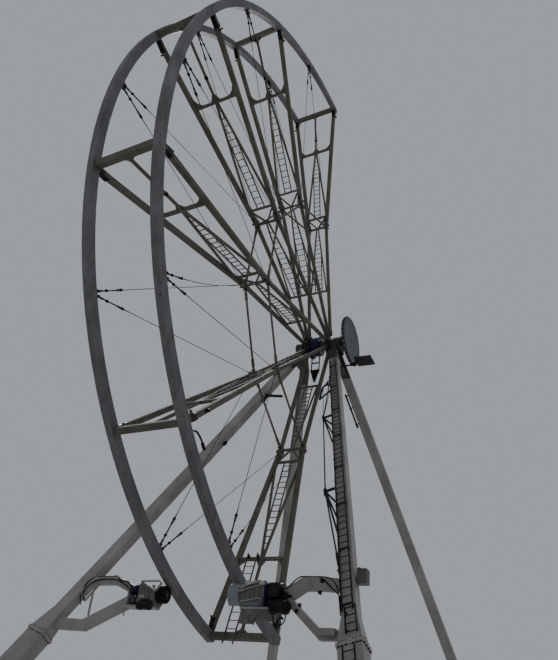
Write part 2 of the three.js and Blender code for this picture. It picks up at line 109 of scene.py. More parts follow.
LEG_K = (leg_point(1, 1, HUB.z) - leg_point(1, 1, 0)).length / HUB.z
SPOKES = [wheel_frame(FIRST_ANGLE + BAY * i) for i in range(SPOKE_COUNT)]
BAYS = [wheel_frame(FIRST_ANGLE + BAY * (i + 0.5)) for i in range(SPOKE_COUNT - 1)]
LEGS = {(sx, sy): leg_frame(sx, sy) for sx in (-1, 1) for sy in (-1, 1)}
NEAR_LEFT, NEAR_RIGHT, FAR_LEFT = LEGS[(-1, -1)], LEGS[(1, -1)], LEGS[(-1, 1)]
MIRROR = Matrix.Scale(-1, 4, (0, 1, 0))
SPOKE_SIDES = [place @ flip for place in SPOKES for flip in (MIRROR, Matrix())]
far = shift(TYRE_AXIS.x, 0, TYRE_AXIS.z)
near = far @ MIRROR
DRIVES = {"near": near, "far": far}


def leg_face(sx, sy, z, inwards, away=0.0):
    """A point beside a leg's axis at height z."""
    return LEGS[(sx, sy)] @ Vector((z * LEG_K, inwards, away))


print(len(SPOKES), "spokes,", len(BAYS), "bays,", len(LEGS), "legs")

# %% [markdown]
# ## The camera
# The photograph was taken from eye height near the foot of the tower, looking up. Place and lens
# come from fitting the rims, spokes and legs. The long side is the sensor's 36 mm.

# %% Camera
PICTURE = (558, 660)
FOCAL_PIXELS, CENTRE_PIXELS = 573.865, (281.865, 379.692)
PITCH, ROLL, YAW = math.radians(31.46), math.radians(6.47), math.radians(27.92)
EYE = (HUB.x - 21.826, -9.613, 1.6)


def aim(pitch, roll, yaw):
    forward = Vector((math.cos(yaw) * math.cos(pitch), math.sin(yaw) * math.cos(pitch), math.sin(pitch)))
    right = Vector((math.sin(yaw), -math.cos(yaw), 0))
    up = right.cross(forward)
    tilted = right * math.cos(roll) + up * math.sin(roll)
    top = up * math.cos(roll) - right * math.sin(roll)
    return Matrix((tilted, top, -forward)).transposed().to_4x4()


def in_scene(name, data):
    """A new object in the scene that holds the given mesh, camera or light."""
    item = bpy.data.objects.new(name, data)
    bpy.context.scene.collection.objects.link(item)
    return item


lens = bpy.data.cameras.new("camera")
lens.sensor_width = 36.0
lens.lens = FOCAL_PIXELS / PICTURE[1] * lens.sensor_width
lens.shift_x = (PICTURE[0] / 2 - CENTRE_PIXELS[0]) / PICTURE[1]
lens.shift_y = (CENTRE_PIXELS[1] - PICTURE[1] / 2) / PICTURE[1]
lens.clip_end = 500
camera = in_scene("camera", lens)
camera.matrix_world = Matrix.Translation(EYE) @ aim(PITCH, ROLL, YAW)
bpy.context.scene.camera = camera
print("lens", round(lens.lens, 2), "mm, shift", round(lens.shift_x, 4), round(lens.shift_y, 4))

# %% [markdown]
# ## Paint and metal
# Each finish is a node tree on Object coordinates: a slow noise shifts the tone, a stretched one
# makes upright rain streaks, a fine one roughens the film, and rust comes where a noise peaks.

# %% A helper that makes a weathered finish
PATCH_SCALE, STREAK_SCALE, RUST_SCALE = 0.9, 6.0, 3.1
UPRIGHT, RUST_COLOUR = (1, 1, 0.12), (0.09, 0.038, 0.018)
SLOT_OF = {}


def finish(name, slot, colour, shade, rough, dirt=(0.2, 0.17, 0.13), streaks=0.5, rust=None,
           metallic=0.0, grain=40.0, bump=0.1, gloss=0.3):
    """Weathered paint or bare metal: two tones, upright streaks, grime and optional rust."""
    material = bpy.data.materials.new(name)
    material.use_nodes = True
    nodes, links = material.node_tree.nodes, material.node_tree.links
    shader = nodes["Principled BSDF"].inputs
    coordinates = nodes.new("ShaderNodeTexCoord").outputs["Object"]

    def noise(scale, detail, stretch=(1, 1, 1)):
        mapping = nodes.new("ShaderNodeMapping")
        mapping.inputs["Scale"].default_value = stretch
        texture = nodes.new("ShaderNodeTexNoise")
        texture.inputs["Scale"].default_value = scale
        texture.inputs["Detail"].default_value = detail
        links.new(coordinates, mapping.inputs["Vector"])
        links.new(mapping.outputs["Vector"], texture.inputs["Vector"])
        return texture.outputs["Fac"]

    def ramp(source, low, high, dark=(0, 0, 0), light=(1, 1, 1)):
        node = nodes.new("ShaderNodeValToRGB")
        ends = node.color_ramp.elements
        ends[0].position, ends[1].position = low, high
        ends[0].color, ends[1].color = (*dark, 1), (*light, 1)
        links.new(source, node.inputs["Fac"])
        return node.outputs["Color"]

    def blend(amount, under, over):
        mix = nodes.new("ShaderNodeMix")
        mix.data_type = "RGBA"
        links.new(amount, mix.inputs["Factor"])
        first, second = [i for i in mix.inputs if i.type == "RGBA"]
        links.new(under, first)
        second.default_value = (*over, 1)
        return [o for o in mix.outputs if o.type == "RGBA"][0]

    tone = ramp(noise(PATCH_SCALE, 5), 0.3, 0.7, shade, colour)
    streak = ramp(noise(STREAK_SCALE, 4, UPRIGHT), 0.5, 0.78, light=(streaks,) * 3)
    surface = blend(streak, tone, dirt)
    if rust is not None:
        surface = blend(ramp(noise(RUST_SCALE, 9), rust, rust + 0.06), surface, RUST_COLOUR)
    links.new(surface, shader["Base Color"])
    fine = noise(grain, 6)
    links.new(ramp(fine, 0.3, 0.7, (rough - 0.1,) * 3, (rough + 0.12,) * 3), shader["Roughness"])
    shader["Metallic"].default_value = metallic
    shader["Specular IOR Level"].default_value = gloss
    relief = nodes.new("ShaderNodeBump")
    relief.inputs["Strength"].default_value = bump
    relief.inputs["Distance"].default_value = 0.01
    links.new(fine, relief.inputs["Height"])
    links.new(relief.outputs["Normal"], shader["Normal"])
    SLOT_OF[material.name] = slot
    return material


# %% The finishes on this wheel
# The tower's off-white paint is given grey, not white: painted shade.
STEEL = finish("white_paint_painted_shade", "steel", (0.35, 0.345, 0.33), (0.225, 0.215, 0.2), 0.42,
               streaks=0.4, rust=0.72)
# Rims, spokes and the wheel's small steelwork: the same paint, darker and browner, as painted shade.
RIM_PAINTED_SHADE = finish("rim_paint_painted_shade", "steel", (0.2, 0.2, 0.205), (0.12, 0.12, 0.125), 0.58,
                   (0.09, 0.075, 0.06), 0.6, 0.69, gloss=0.2)
WHEEL_PAINTED_SHADE = finish("wheel_paint_painted_shade", "steel", (0.165, 0.153, 0.13), (0.098, 0.087, 0.07), 0.62,
                     (0.1, 0.07, 0.04), 0.6, 0.69, gloss=0.15)
# The hub: the same steel paint, near black, as painted shade.
SHADED = finish("hub_painted_shade", "steel", (0.065, 0.058, 0.068), (0.035, 0.031, 0.038), 0.45,
                (0.05, 0.04, 0.03), rust=0.7)
# The leg heads: the same steel paint, near black, as painted shade.
HEAD_PAINTED_SHADE = finish("head_painted_shade", "steel", (0.084, 0.077, 0.08), (0.048, 0.043, 0.047), 0.5,
                    (0.06, 0.045, 0.03), rust=0.71, gloss=0.2)
CASTING = finish("casting_paint", "grey_paint", (0.17, 0.165, 0.16), (0.095, 0.09, 0.085), 0.35,
                 (0.08, 0.06, 0.04), 0.6, 0.72)
DARK = finish("dark_paint", "dark_metal", (0.028, 0.028, 0.032), (0.015, 0.015, 0.018), 0.5,
              streaks=0.15, gloss=0.2)
BLUE = finish("navy_paint", "blue_paint", (0.007, 0.008, 0.05), (0.004, 0.005, 0.028), 0.3,
              streaks=0.1, gloss=0.25)
GREY = finish("grey_paint", "grey_paint", (0.085, 0.089, 0.096), (0.055, 0.058, 0.064), 0.42,
              streaks=0.4, rust=0.74)
GUARD = finish("guard_paint", "grey_paint", (0.25, 0.275, 0.3), (0.17, 0.19, 0.21), 0.38,
               streaks=0.4, rust=0.74)
BLACK = finish("black_fittings", "dark_metal", (0.01, 0.01, 0.012), (0.006, 0.006, 0.007), 0.3,
               streaks=0.1, rust=0.8, gloss=0.16)
ZINC = finish("zinc_bolts", "steel", (0.36, 0.36, 0.37), (0.24, 0.24, 0.25), 0.4,
              streaks=0.3, rust=0.66, metallic=0.9)
RUBBER = finish("rubber", "tyre", (0.01, 0.01, 0.011), (0.006, 0.006, 0.007), 0.8,
                (0.05, 0.045, 0.04), 0.2, gloss=0.1)
WIRE = finish("wire_rope", "wire_rope", (0.08, 0.08, 0.085), (0.04, 0.04, 0.043), 0.4,
              streaks=0.3, metallic=0.85, grain=160.0, bump=0.5)
print("finishes:", ", ".join(SLOT_OF))

# %% [markdown]
# ## Finish the imported pieces
# The imported nodes keep their shape and only take a better paint. The wheel is darker and browner
# than the tower, and the hub and the leg heads darker still: painted shade.

# %% Paint the imported nodes
# The wheel, hub and leg heads take the painted-shade copies of the steel paint.
NODE_FINISH = {
    "stays": WIRE, "leg_ladder": BLACK, "flood_panel": BLACK, "axle": DARK, "truss_rod": DARK, "motors": BLUE,
    "hub_drum": BLUE, "hub_disc": GREY, "speaker_box": GREY, "gearbox_near": GUARD, "gearbox_far": CASTING,
    "drive_tyre": RUBBER, "rim_": RIM_PAINTED_SHADE, "spoke_": WHEEL_PAINTED_SHADE, "ring_strut": WHEEL_PAINTED_SHADE, "hub": SHADED,
    "head": HEAD_PAINTED_SHADE,
}
for name, node in frame["nodes"].items():
    paint = next((NODE_FINISH[key] for key in NODE_FINISH if name.startswith(key)), STEEL)
    if not node.material_slots:
        node.data.materials.append(paint)
    for material_slot in node.material_slots:
        material_slot.material = paint
print("painted", len(frame["nodes"]), "packed nodes")

# %% [markdown]
# ## Metalwork by hand
# Plates, bars, rods and turned parts are closed loops of points joined by sides. One class
# gathers them in the directions of the members they sit on, and one function turns the lot
# into a named piece that rides on its body.

# %% Metalwork
OBLIQUE = (0.3, 0.5, 0.8)


def straight_frame(a, b, side):
    """Two directions square to the line from a to b, the first as near to side as can be."""
    along = (b - a).normalized()
    side = Vector(side)
    if abs(side.dot(along)) > 0.99:
        side = Vector((1, 0, 0)) if abs(along.x) < 0.9 else Vector((0, 0, 1))
    across = (side - along * side.dot(along)).normalized()
    return across, along.cross(across)


def circle(middle, across, over, radius, sides):
    turns = (2 * math.pi * i / sides for i in range(sides))
    return [middle + (across * math.cos(w) + over * math.sin(w)) * radius for w in turns]


class Metalwork:
    """Closed metal shapes gathered into one mesh, each drawn in all the places it is at."""

    def __init__(self, *places):
        self.shell = bmesh.new()
        self.places = places or [Matrix()]

    def at(self, *places):
        self.places = places

    def loft(self, loops):
        for place in self.places:
            rings = [[self.shell.verts.new(place @ Vector(p)) for p in loop] for loop in loops]
            self.shell.faces.new(rings[0][::-1])
            self.shell.faces.new(rings[-1])
            for low, high in zip(rings, rings[1:]):
                self.join(low, high)

    def join(self, a, b):
        """Faces between two loops of corners."""
        for i in range(len(a)):
            j = (i + 1) % len(a)
            self.shell.faces.new((a[i], a[j], b[j], b[i]))

    def bar(self, a, b, wide, deep, side=(0, 1, 0)):
        a, b = Vector(a), Vector(b)
        across, over = straight_frame(a, b, side)
        corners = ((-1, -1), (1, -1), (1, 1), (-1, 1))
        self.loft([[p + across * (i * wide / 2) + over * (j * deep / 2) for i, j in corners]
                   for p in (a, b)])

    def block(self, low, high):
        (x0, y0, z0), (x1, y1, z1) = low, high
        self.loft([[(x0, y0, z), (x1, y0, z), (x1, y1, z), (x0, y1, z)] for z in (z0, z1)])

    def turned(self, a, b, profile, sides=16):
        """A turned part: the profile gives (share of the way from a to b, radius)."""
        a, b = Vector(a), Vector(b)
        across, over = straight_frame(a, b, OBLIQUE)
        self.loft([circle(a.lerp(b, t), across, over, r, sides) for t, r in profile])

    def rod(self, a, b, radius, sides=8):
        self.turned(a, b, ((0, radius), (1, radius)), sides)

    def plate(self, outline, thick):
        thick = Vector(thick)
        self.loft([[Vector(p) for p in outline], [Vector(p) + thick for p in outline]])

    def tube(self, path, radius, sides=8):
        """A bent tube or hose that keeps its section square to the path."""
        across = straight_frame(path[0], path[1], OBLIQUE)[0]
        loops = []
        for i, p in enumerate(path):
            along = (path[min(i + 1, len(path) - 1)] - path[max(i - 1, 0)]).normalized()
            across = (across - along * across.dot(along)).normalized()
            loops.append(circle(p, across, along.cross(across), radius, sides))
        self.loft(loops)


def dress(mesh, name, paint, body, smooth=35):
    """Names a mesh, gives it its finish and lets it ride on a body."""
    mesh.materials.clear()
    mesh.materials.append(paint)
    mesh.polygons.foreach_set("use_smooth", [True] * len(mesh.polygons))
    mesh.set_sharp_from_angle(angle=math.radians(smooth))
    piece = in_scene(name, mesh)
    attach(piece, body)
    print(f"{name}: {len(mesh.polygons)} faces on {body}")
    return piece


def made(metal, name, paint, body="tower", smooth=35):
    bmesh.ops.recalc_face_normals(metal.shell, faces=metal.shell.faces)
    mesh = bpy.data.meshes.new(name)
    metal.shell.to_mesh(mesh)
    metal.shell.free()
    return dress(mesh, name, paint, body, smooth)


# %% [markdown]
# ## Node trees for what repeats
# Rungs, bolts, teeth and fins follow simple rules, so Geometry Nodes make them from named sizes.
# The result is taken as a plain mesh and stamped into every spoke, leg or drive that needs it.

# %% Helpers for node trees
def new_tree(name, **inputs):
    """A tree with an input for each name, and the sockets that bring their values."""
    tree = bpy.data.node_groups.new(name, "GeometryNodeTree")
    for label, kind in {"Geometry": "Geometry", **inputs, "Finish": "Material"}.items():
        tree.interface.new_socket(label, in_out="INPUT", socket_type="NodeSocket" + kind)
    tree.interface.new_socket("Geometry", in_out="OUTPUT", socket_type="NodeSocketGeometry")
    return tree, tree.nodes.new("NodeGroupInput").outputs


def add(tree, kind, inputs=(), **settings):
    """Adds a node and returns its first output; inputs pairs a socket with a value or a link."""
    node = tree.nodes.new(kind)
    for key, value in settings.items():
        setattr(node, key, value)
    for socket, value in dict(inputs).items():
        if isinstance(value, bpy.types.NodeSocket):
            tree.links.new(value, node.inputs[socket])
        else:
            node.inputs[socket].default_value = value
    return node.outputs[0] if node.outputs else None


def sum_of(tree, operation, a, b):
    return add(tree, "ShaderNodeMath", {0: a, 1: b}, operation=operation)


def copies(tree, get, inputs):
    """Closes a tree with copies of one piece on points, as real geometry in its finish."""
    placed = add(tree, "GeometryNodeInstanceOnPoints", inputs)
    solid = add(tree, "GeometryNodeRealizeInstances", {"Geometry": placed})
    painted = add(tree, "GeometryNodeSetMaterial", {"Geometry": solid, "Material": get["Finish"]})
    add(tree, "NodeGroupOutput", {"Geometry": painted})
    return tree


def grow(tree, values, paint, seed=None):
    """Runs a tree on a seed mesh and returns the result as a plain mesh."""
    carrier = in_scene("carrier", seed or bpy.data.meshes.new("seed"))
    modifier = carrier.modifiers.new("grow", "NODES")
    modifier.node_group = tree
    ids = {i.name: i.identifier for i in tree.interface.items_tree
           if i.item_type == "SOCKET" and i.in_out == "INPUT"}
    for label, value in {**values, "Finish": paint}.items():
        modifier[ids[label]] = value
    graph = bpy.context.evaluated_depsgraph_get()
    result = bpy.data.meshes.new_from_object(carrier.evaluated_get(graph))
    bpy.data.objects.remove(carrier)
    return result


def stamp(mesh, places):
    """One mesh copied into every place, turned right way out in mirrored ones."""
    whole = bmesh.new()
    for place in places:
        copy = mesh.copy()
        copy.transform(place)
        if place.determinant() < 0:
            copy.flip_normals()
        whole.from_mesh(copy)
        bpy.data.meshes.remove(copy)
    result = bpy.data.meshes.new(mesh.name)
    whole.to_mesh(result)
    whole.free()
    return result


# %% The rung tree
def rung_tree():
    """Rungs square across a ladder that runs along X and may close to a point at its root."""
    tree, get = new_tree("ladder_rungs", First="Float", Last="Float", Pitch="Float", Half="Float",
                         Root="Float", Closing="Float", Radius="Float")
    length = sum_of(tree, "SUBTRACT", get["Last"], get["First"])
    steps = sum_of(tree, "FLOOR", sum_of(tree, "DIVIDE", length, get["Pitch"]), 0.0)
    line = add(tree, "GeometryNodeMeshLine", {
        "Count": sum_of(tree, "ADD", steps, 1.0),
        "Start Location": add(tree, "ShaderNodeCombineXYZ", {0: get["First"]}),
        "Offset": add(tree, "ShaderNodeCombineXYZ", {0: get["Pitch"]})})
    x = add(tree, "ShaderNodeSeparateXYZ", {0: add(tree, "GeometryNodeInputPosition")})
    to_root = sum_of(tree, "SUBTRACT", get["Root"], x)
    reach = sum_of(tree, "MINIMUM", get["Half"], sum_of(tree, "MULTIPLY", to_root, get["Closing"]))
    size = add(tree, "ShaderNodeCombineXYZ", {0: 1.0, 1: 1.0, 2: sum_of(tree, "MULTIPLY", reach, 2.0)})
    rung = add(tree, "GeometryNodeMeshCylinder", {"Vertices": 8, "Radius": get["Radius"], "Depth": 1.0})
    upright = (math.pi / 2, 0, 0)
    return copies(tree, get, {"Points": line, "Instance": rung, "Rotation": upright, "Scale": size})


RUNGS = rung_tree()
FAR_ROOT = 100.0


def ladder_rungs(name, places, paint, body, first, last, half, radius, pitch=0.27, root=FAR_ROOT, closing=1):
    """Rungs from first to last; a root far beyond the ladder leaves them all at full width."""
    sizes = {"First": first, "Last": last, "Pitch": pitch, "Half": half, "Root": root, "Closing": closing,
             "Radius": radius}
    dress(stamp(grow(RUNGS, sizes, paint), places), name, paint, body)


# %% The bolt tree
def bolt_tree():
    """A hexagon head on a washer at every point, facing the way the point says."""
    tree, get = new_tree("bolt_heads", Head="Float", Washer="Float")
    tall = sum_of(tree, "MULTIPLY", get["Head"], 0.9)
    thin = sum_of(tree, "MULTIPLY", get["Washer"], 0.16)
    washer = add(tree, "GeometryNodeMeshCylinder", {"Vertices": 12, "Radius": get["Washer"], "Depth": thin})
    head = add(tree, "GeometryNodeMeshCylinder", {"Vertices": 6, "Radius": get["Head"], "Depth": tall})
    lift = add(tree, "ShaderNodeCombineXYZ", {2: sum_of(tree, "MULTIPLY", tall, 0.5)})
    raised = add(tree, "GeometryNodeTransform", {"Geometry": head, "Translation": lift})
    both = tree.nodes.new("GeometryNodeJoinGeometry")
    for part in (washer, raised):
        tree.links.new(part, both.inputs[0])
    facing = add(tree, "GeometryNodeInputNamedAttribute", {"Name": "facing"}, data_type="FLOAT_VECTOR")
    turn = add(tree, "FunctionNodeAlignRotationToVector", {"Vector": facing}, axis="Z")
    return copies(tree, get, {"Points": get["Geometry"], "Instance": both.outputs[0], "Rotation": turn})


BOLTS = bolt_tree()
WASHER_SHARE = 1.35


def seat(place, spot, way):
    """Where a bolt sits and the way it faces, taken from a member's frame to the row's."""
    return place @ Vector(spot), place.to_3x3() @ Vector(way)


def fit_bolts(name, places, head, body, paint=ZINC):
    """Bolts at (place, facing) pairs in the row's frame."""
    seats = bpy.data.meshes.new("seats")
    seats.from_pydata([tuple(place) for place, _ in places], [], [])
    facing = seats.attributes.new("facing", "FLOAT_VECTOR", "POINT")
    facing.data.foreach_set("vector", [v for _, way in places for v in way])
    mesh = grow(BOLTS, {"Head": head, "Washer": head * WASHER_SHARE}, paint, seats)
    dress(mesh, name, paint, body, 30)


# %% The ring tree
ABOUT_AXLE = Matrix.Rotation(math.radians(90), 4, "X")


def ring_tree():
    """Small blocks round a circle about Z, each pointing outwards along its own X."""
    tree, get = new_tree("blocks_in_a_ring", Count="Int", Radius="Float", Size="Vector")
    round_it = add(tree, "GeometryNodeMeshCircle", {"Vertices": get["Count"], "Radius": get["Radius"]})
    out = add(tree, "GeometryNodeInputPosition")
    turn = add(tree, "FunctionNodeAlignRotationToVector", {"Vector": out}, axis="X")
    box = add(tree, "GeometryNodeMeshCube", {"Size": get["Size"]})
    return copies(tree, get, {"Points": round_it, "Instance": box, "Rotation": turn})


RING = ring_tree()


def ring_of_blocks(name, places, paint, body, count, radius, size):
    """Blocks round the Y axis of each place; a size is outwards, round and along."""
    ring = grow(RING, {"Count": count, "Radius": radius, "Size": size}, paint)
    dress(stamp(ring, [place @ ABOUT_AXLE for place in places]), name, paint, body, 30)


print("node trees:", [t.name for t in bpy.data.node_groups])

# %% [markdown]
# ## Ladders inside the spokes
# Each spoke has two ladders, so that a rigger can climb to the rim. The outer one ends in the
# point of the long diagonals and the inner one in the V below the splice, so rungs get shorter.

# %% Spoke rungs
ladder_rungs("spoke_rungs_outer", SPOKES, DARK, "wheel", MID_R + 0.22, 11.85, 0.17, 0.018,
             pitch=0.28, root=12.42, closing=0.1174)
ladder_rungs("spoke_rungs_inner", SPOKES, DARK, "wheel", BEAM_R + 0.2, 6.55, 0.185, 0.018,
             pitch=0.27, root=7.46, closing=0.098)

# %% [markdown]
# ## Rim joints
# Every chord is pinned to its rim box by a black fork, and the boxes meet there under cover
# plates on their two side faces and the inner face.

# %% Forks and cover plates
FORK_LOW, FORK_HIGH, FORK_Y, COVER = 14.42, RIM_IN - 0.004, RIM_Y - 0.015, 0.009
HOOK_R = (14.33, 14.33, 14.33, None, 13.8, 14.33)


def rim_fork(metal, y):
    """Plates round the chord's end, with two pins across and nuts on them."""
    for s in (-1, 1):
        z, face = s * 0.081, y + s * 0.076
        metal.plate([(FORK_LOW, y - 0.1, z), (FORK_LOW, y + 0.1, z), (FORK_HIGH, y + 0.077, z),
                     (FORK_HIGH, y - 0.077, z)], (0, 0, s * 0.016))
        metal.plate([(FORK_LOW + 0.05, face, -0.1), (FORK_LOW + 0.05, face, 0.1), (FORK_HIGH, face, 0.082),
                     (FORK_HIGH, face, -0.082)], (0, s * 0.014, 0))
    for r in (FORK_LOW + 0.09, FORK_HIGH - 0.08):
        metal.rod((r, y, -0.125), (r, y, 0.125), 0.024, 10)
        for s in (-1, 1):
            metal.rod((r, y, s * 0.098), (r, y, s * 0.122), 0.04, 6)


def small_hook(metal, side, r):
    """Bracket for a lifting line, on the chord's outer face."""
    y = side * (chord_y(r) + 0.085)
    tip = y + side * 0.1
    metal.bar((r - 0.07, y, 0), (r + 0.07, y, 0), 0.02, 0.09)
    metal.bar((r, y, 0), (r + 0.03, tip, 0), 0.05, 0.06)
    metal.rod((r + 0.02, tip, -0.05), (r + 0.02, tip, 0.05), 0.028)


forks, covers, seats = Metalwork(), Metalwork(*SPOKE_SIDES), []
for side in (-1, 1):
    forks.at(*SPOKES)
    rim_fork(forks, side * FORK_Y)
    for place, r in zip(SPOKES, HOOK_R):
        if r:
            forks.at(place)
            small_hook(forks, side, r)
for s in (-1, 1):
    skin = RIM_Y + s * (RIM_HALF_WIDE + COVER)
    y0, y1 = sorted((RIM_Y + s * RIM_HALF_WIDE, skin))
    z0, z1 = sorted((s * 0.09, s * 0.26))
    covers.block((RIM_IN + 0.03, y0, -0.24), (RIM_OUT - 0.03, y1, 0.24))
    covers.block((RIM_IN - 0.012, RIM_Y - 0.1, z0), (RIM_IN + 0.004, RIM_Y + 0.1, z1))
    seats += [seat(place, (r, skin, z), (0, s, 0)) for place in SPOKE_SIDES
              for z in (-0.19, -0.11, 0.11, 0.19) for r in (RIM_R - 0.07, RIM_R + 0.07)]
made(forks, "rim_forks", BLACK, "wheel")
made(covers, "rim_covers", RIM_PAINTED_SHADE, "wheel")
fit_bolts("rim_bolts", seats, 0.017, "wheel")

# %% [markdown]
# ## Turnbuckles on the stays
# A stay starts at a lug inside the rim, then comes a threaded rod, a black turnbuckle body and a
# second knob at the rope's socket. All sit on the stay's own line, whether it is taut or slack.

# %% Stay fittings
SLACK_STAY, SLACK_SAG = (3, -1, -1), 0.4
KNOB = ((0, 0.022), (0.2, 0.04), (0.4, 0.048), (0.6, 0.048), (0.8, 0.04), (1, 0.022))


def stay_line(place, bay, side, way):
    """The stay's path in the row's frame, from its lug on the rim to the spoke."""
    start = place @ Vector((STAY_START, side * RIM_Y, way * STAY_APART))
    end = place @ polar(CABLE_R, way * BAY / 2, side * chord_y(CABLE_R))
    sag = SLACK_SAG if (bay, side, way) == SLACK_STAY else 0

    def at(metres):
        t = metres / (end - start).length
        return start.lerp(end, t) - Vector((0, 0, 4 * sag * t * (1 - t)))
    return at, (end - start).length


def stay_fittings(metal, at, length):
    metal.turned(at(0.3), at(0.42), KNOB, 10)
    metal.rod(at(0.22), at(0.92), 0.0225)
    metal.turned(at(0.88), at(1.04), KNOB, 10)
    metal.turned(at(1.02), at(1.3), ((0, 0.018), (1, 0.013)), 8)
    metal.turned(at(length - 0.42), at(length - 0.12), ((0, 0.014), (0.3, 0.024), (1, 0.024)), 8)


def stay_lug(metal, x, y, z):
    metal.rod((x, y - 0.062, z), (x, y + 0.062, z), 0.018)
    for s in (-1, 1):
        metal.bar((x - 0.04, y + s * 0.045, z), (x + 0.06, y + s * 0.045, z), 0.014, 0.05)


fittings = Metalwork()
for bay, place in enumerate(BAYS):
    for side in (-1, 1):
        for way in (-1, 1):
            fittings.at(Matrix())
            stay_fittings(fittings, *stay_line(place, bay, side, way))
            fittings.at(place)
            stay_lug(fittings, STAY_START - 0.002, side * RIM_Y, way * STAY_APART)
made(fittings, "stay_fittings", BLACK, "wheel")

# %% [markdown]
# ## The splice halfway up each spoke
# Each spoke comes in two lorry-length halves that bolt together at the mid panel, where the ring
# struts end too. It gets flange plates, bolts, a black pin at each strut and a thicker socket.

# %% Splices, strut pins and strut sleeves
splices, pins = Metalwork(*SPOKE_SIDES), Metalwork(*SPOKE_SIDES)
y = chord_y(SPLICE_R + 0.1)
for r in (SPLICE_R + 0.09, SPLICE_R + 0.14):
    splices.block((r - 0.018, y - 0.135, -0.125), (r + 0.018, y + 0.135, 0.125))
for z in (-0.155, 0.155):
    pins.rod((STRUT_R - 0.02, y - 0.085, z), (STRUT_R - 0.02, y + 0.085, z), 0.03, 10)
seats = [seat(place, (r, y + dy, z), (way, 0, 0)) for place in SPOKE_SIDES for dy in (-0.113, 0.113)
         for z in (-0.105, 0.105) for r, way in ((SPLICE_R + 0.158, 1), (SPLICE_R + 0.072, -1))]
made(splices, "spoke_splices", WHEEL_PAINTED_SHADE, "wheel")
made(pins, "strut_pins", BLACK, "wheel")
fit_bolts("splice_bolts", seats, 0.02, "wheel")

sleeves = Metalwork(*BAYS)
for side in (-1, 1):
    ends = [polar(STRUT_R, s * BAY / 2, side * chord_y(SPLICE_R)) for s in (-1, 1)]
    for a, b in (ends, ends[::-1]):
        way = (b - a).normalized()
        sleeves.turned(a + way * 0.28, a + way * 0.62, ((0, 0.062), (0.85, 0.062), (1, 0.05)), 10)
made(sleeves, "strut_sleeves", WHEEL_PAINTED_SHADE, "wheel")

# %% [markdown]
# ## The leg ladder
# The near left leg is the way up to the hub. Its rungs come from the tree of the spoke rungs,
# and a second, shorter ladder serves the shoe.

# %% Leg ladder
LADDER_SIDE, LADDER_HALF, SHOE_SIDE, RUNG_R = 0.2538, 0.145, 0.34, 0.013
ladder_rungs("leg_rungs", [NEAR_LEFT @ shift(0, 0, LADDER_SIDE)], BLACK, "tower",
             (SHOE_TOP + 0.2) * LEG_K, 16.25 * LEG_K, LADDER_HALF, RUNG_R)
ladder_rungs("shoe_rungs", [NEAR_LEFT @ shift(0, 0, SHOE_SIDE)], BLACK, "tower",
             0.45, 3.25 * LEG_K, LADDER_HALF, RUNG_R)
rails = Metalwork(NEAR_LEFT)
for y in (-LADDER_HALF, LADDER_HALF):
    rails.bar((0.25, y, SHOE_SIDE), (3.3 * LEG_K, y, SHOE_SIDE), 0.03, 0.045)
    for x in (0.6, 1.5, 2.4, 3.2):
        rails.bar((x, y, 0.23), (x, y, 0.335), 0.022, 0.05)
made(rails, "shoe_ladder_rails", BLACK)

# %% [markdown]
# ## Feet of the legs
# The lower leg ends in a bolted flange under the tapered shoe. A ring of bolts runs round the
# flange, and triangular stiffeners stand on the foot plate below.

# %% Flange bolts and foot stiffeners
PLATE_TOP, RIB_REACH, RIB_THICK, ANCHOR = 0.06, 0.5, 0.024, 0.45
FLANGE_SPOTS = [(s * 0.338, z) for s in (-1, 1) for z in (-0.18, -0.06, 0.06, 0.18)]
FLANGE_SPOTS += [(y, s * 0.258) for s in (-1, 1) for y in (-0.27, -0.18, -0.09, 0.09, 0.18, 0.27)]
seats = [seat(place, ((FLANGE_Z + way * 0.045) * LEG_K, y, z), (way, 0, 0))
         for place in LEGS.values() for way in (1, -1) for y, z in FLANGE_SPOTS]
fit_bolts("flange_bolts", seats, 0.019, "tower", BLACK)


def foot_rib(metal, sx, sy, x, y):
    """A triangular web between the foot plate and the face of the leg that looks along (x, y)."""
    base = leg_point(sx, sy, PLATE_TOP)
    out = Vector((x, y, 0))
    across = Vector((-y, x, 0)) * (RIB_THICK / 2)
    tip = base + out * RIB_REACH
    top = leg_point(sx, sy, 0.42) + out * (0.24 if x else 0.3)
    foot = [base + out * 0.1, tip, tip + Vector((0, 0, 0.05)), top]
    metal.plate([p - across for p in foot], across * 2)


ribs, anchors = Metalwork(), []
for sx, sy in LEGS:
    for x, y in ((1, 0), (-1, 0), (0, 1), (0, -1)):
        foot_rib(ribs, sx, sy, x, y)
    anchors += [(leg_point(sx, sy, 0) + Vector((a * ANCHOR, b * ANCHOR, PLATE_TOP)), Vector((0, 0, 1)))
                for a in (-1, 1) for b in (-1, 1)]
made(ribs, "foot_ribs", STEEL)
fit_bolts("foot_bolts", anchors, 0.04, "tower")

# %% [markdown]
# ## The hub
# The spokes' inner chords are pinned between the hub's flanges and the drum. A bearing cap with
# a ring of bolts closes the far end, and bolts go round the drum's two edges.

# %% Hub pins and bearing cap
pins = Metalwork(*SPOKE_SIDES)
for r in (0.56, 0.7):
    pins.rod((r, HUB_CHORD_Y - 0.1, 0), (r, HUB_CHORD_Y + 0.1, 0), 0.032, 10)
for y in (HUB_CHORD_Y - 0.08, HUB_CHORD_Y + 0.08):
    pins.bar((0.5, y, 0), (0.8, y, 0), 0.02, 0.12)
made(pins, "hub_pins", BLACK, "wheel")

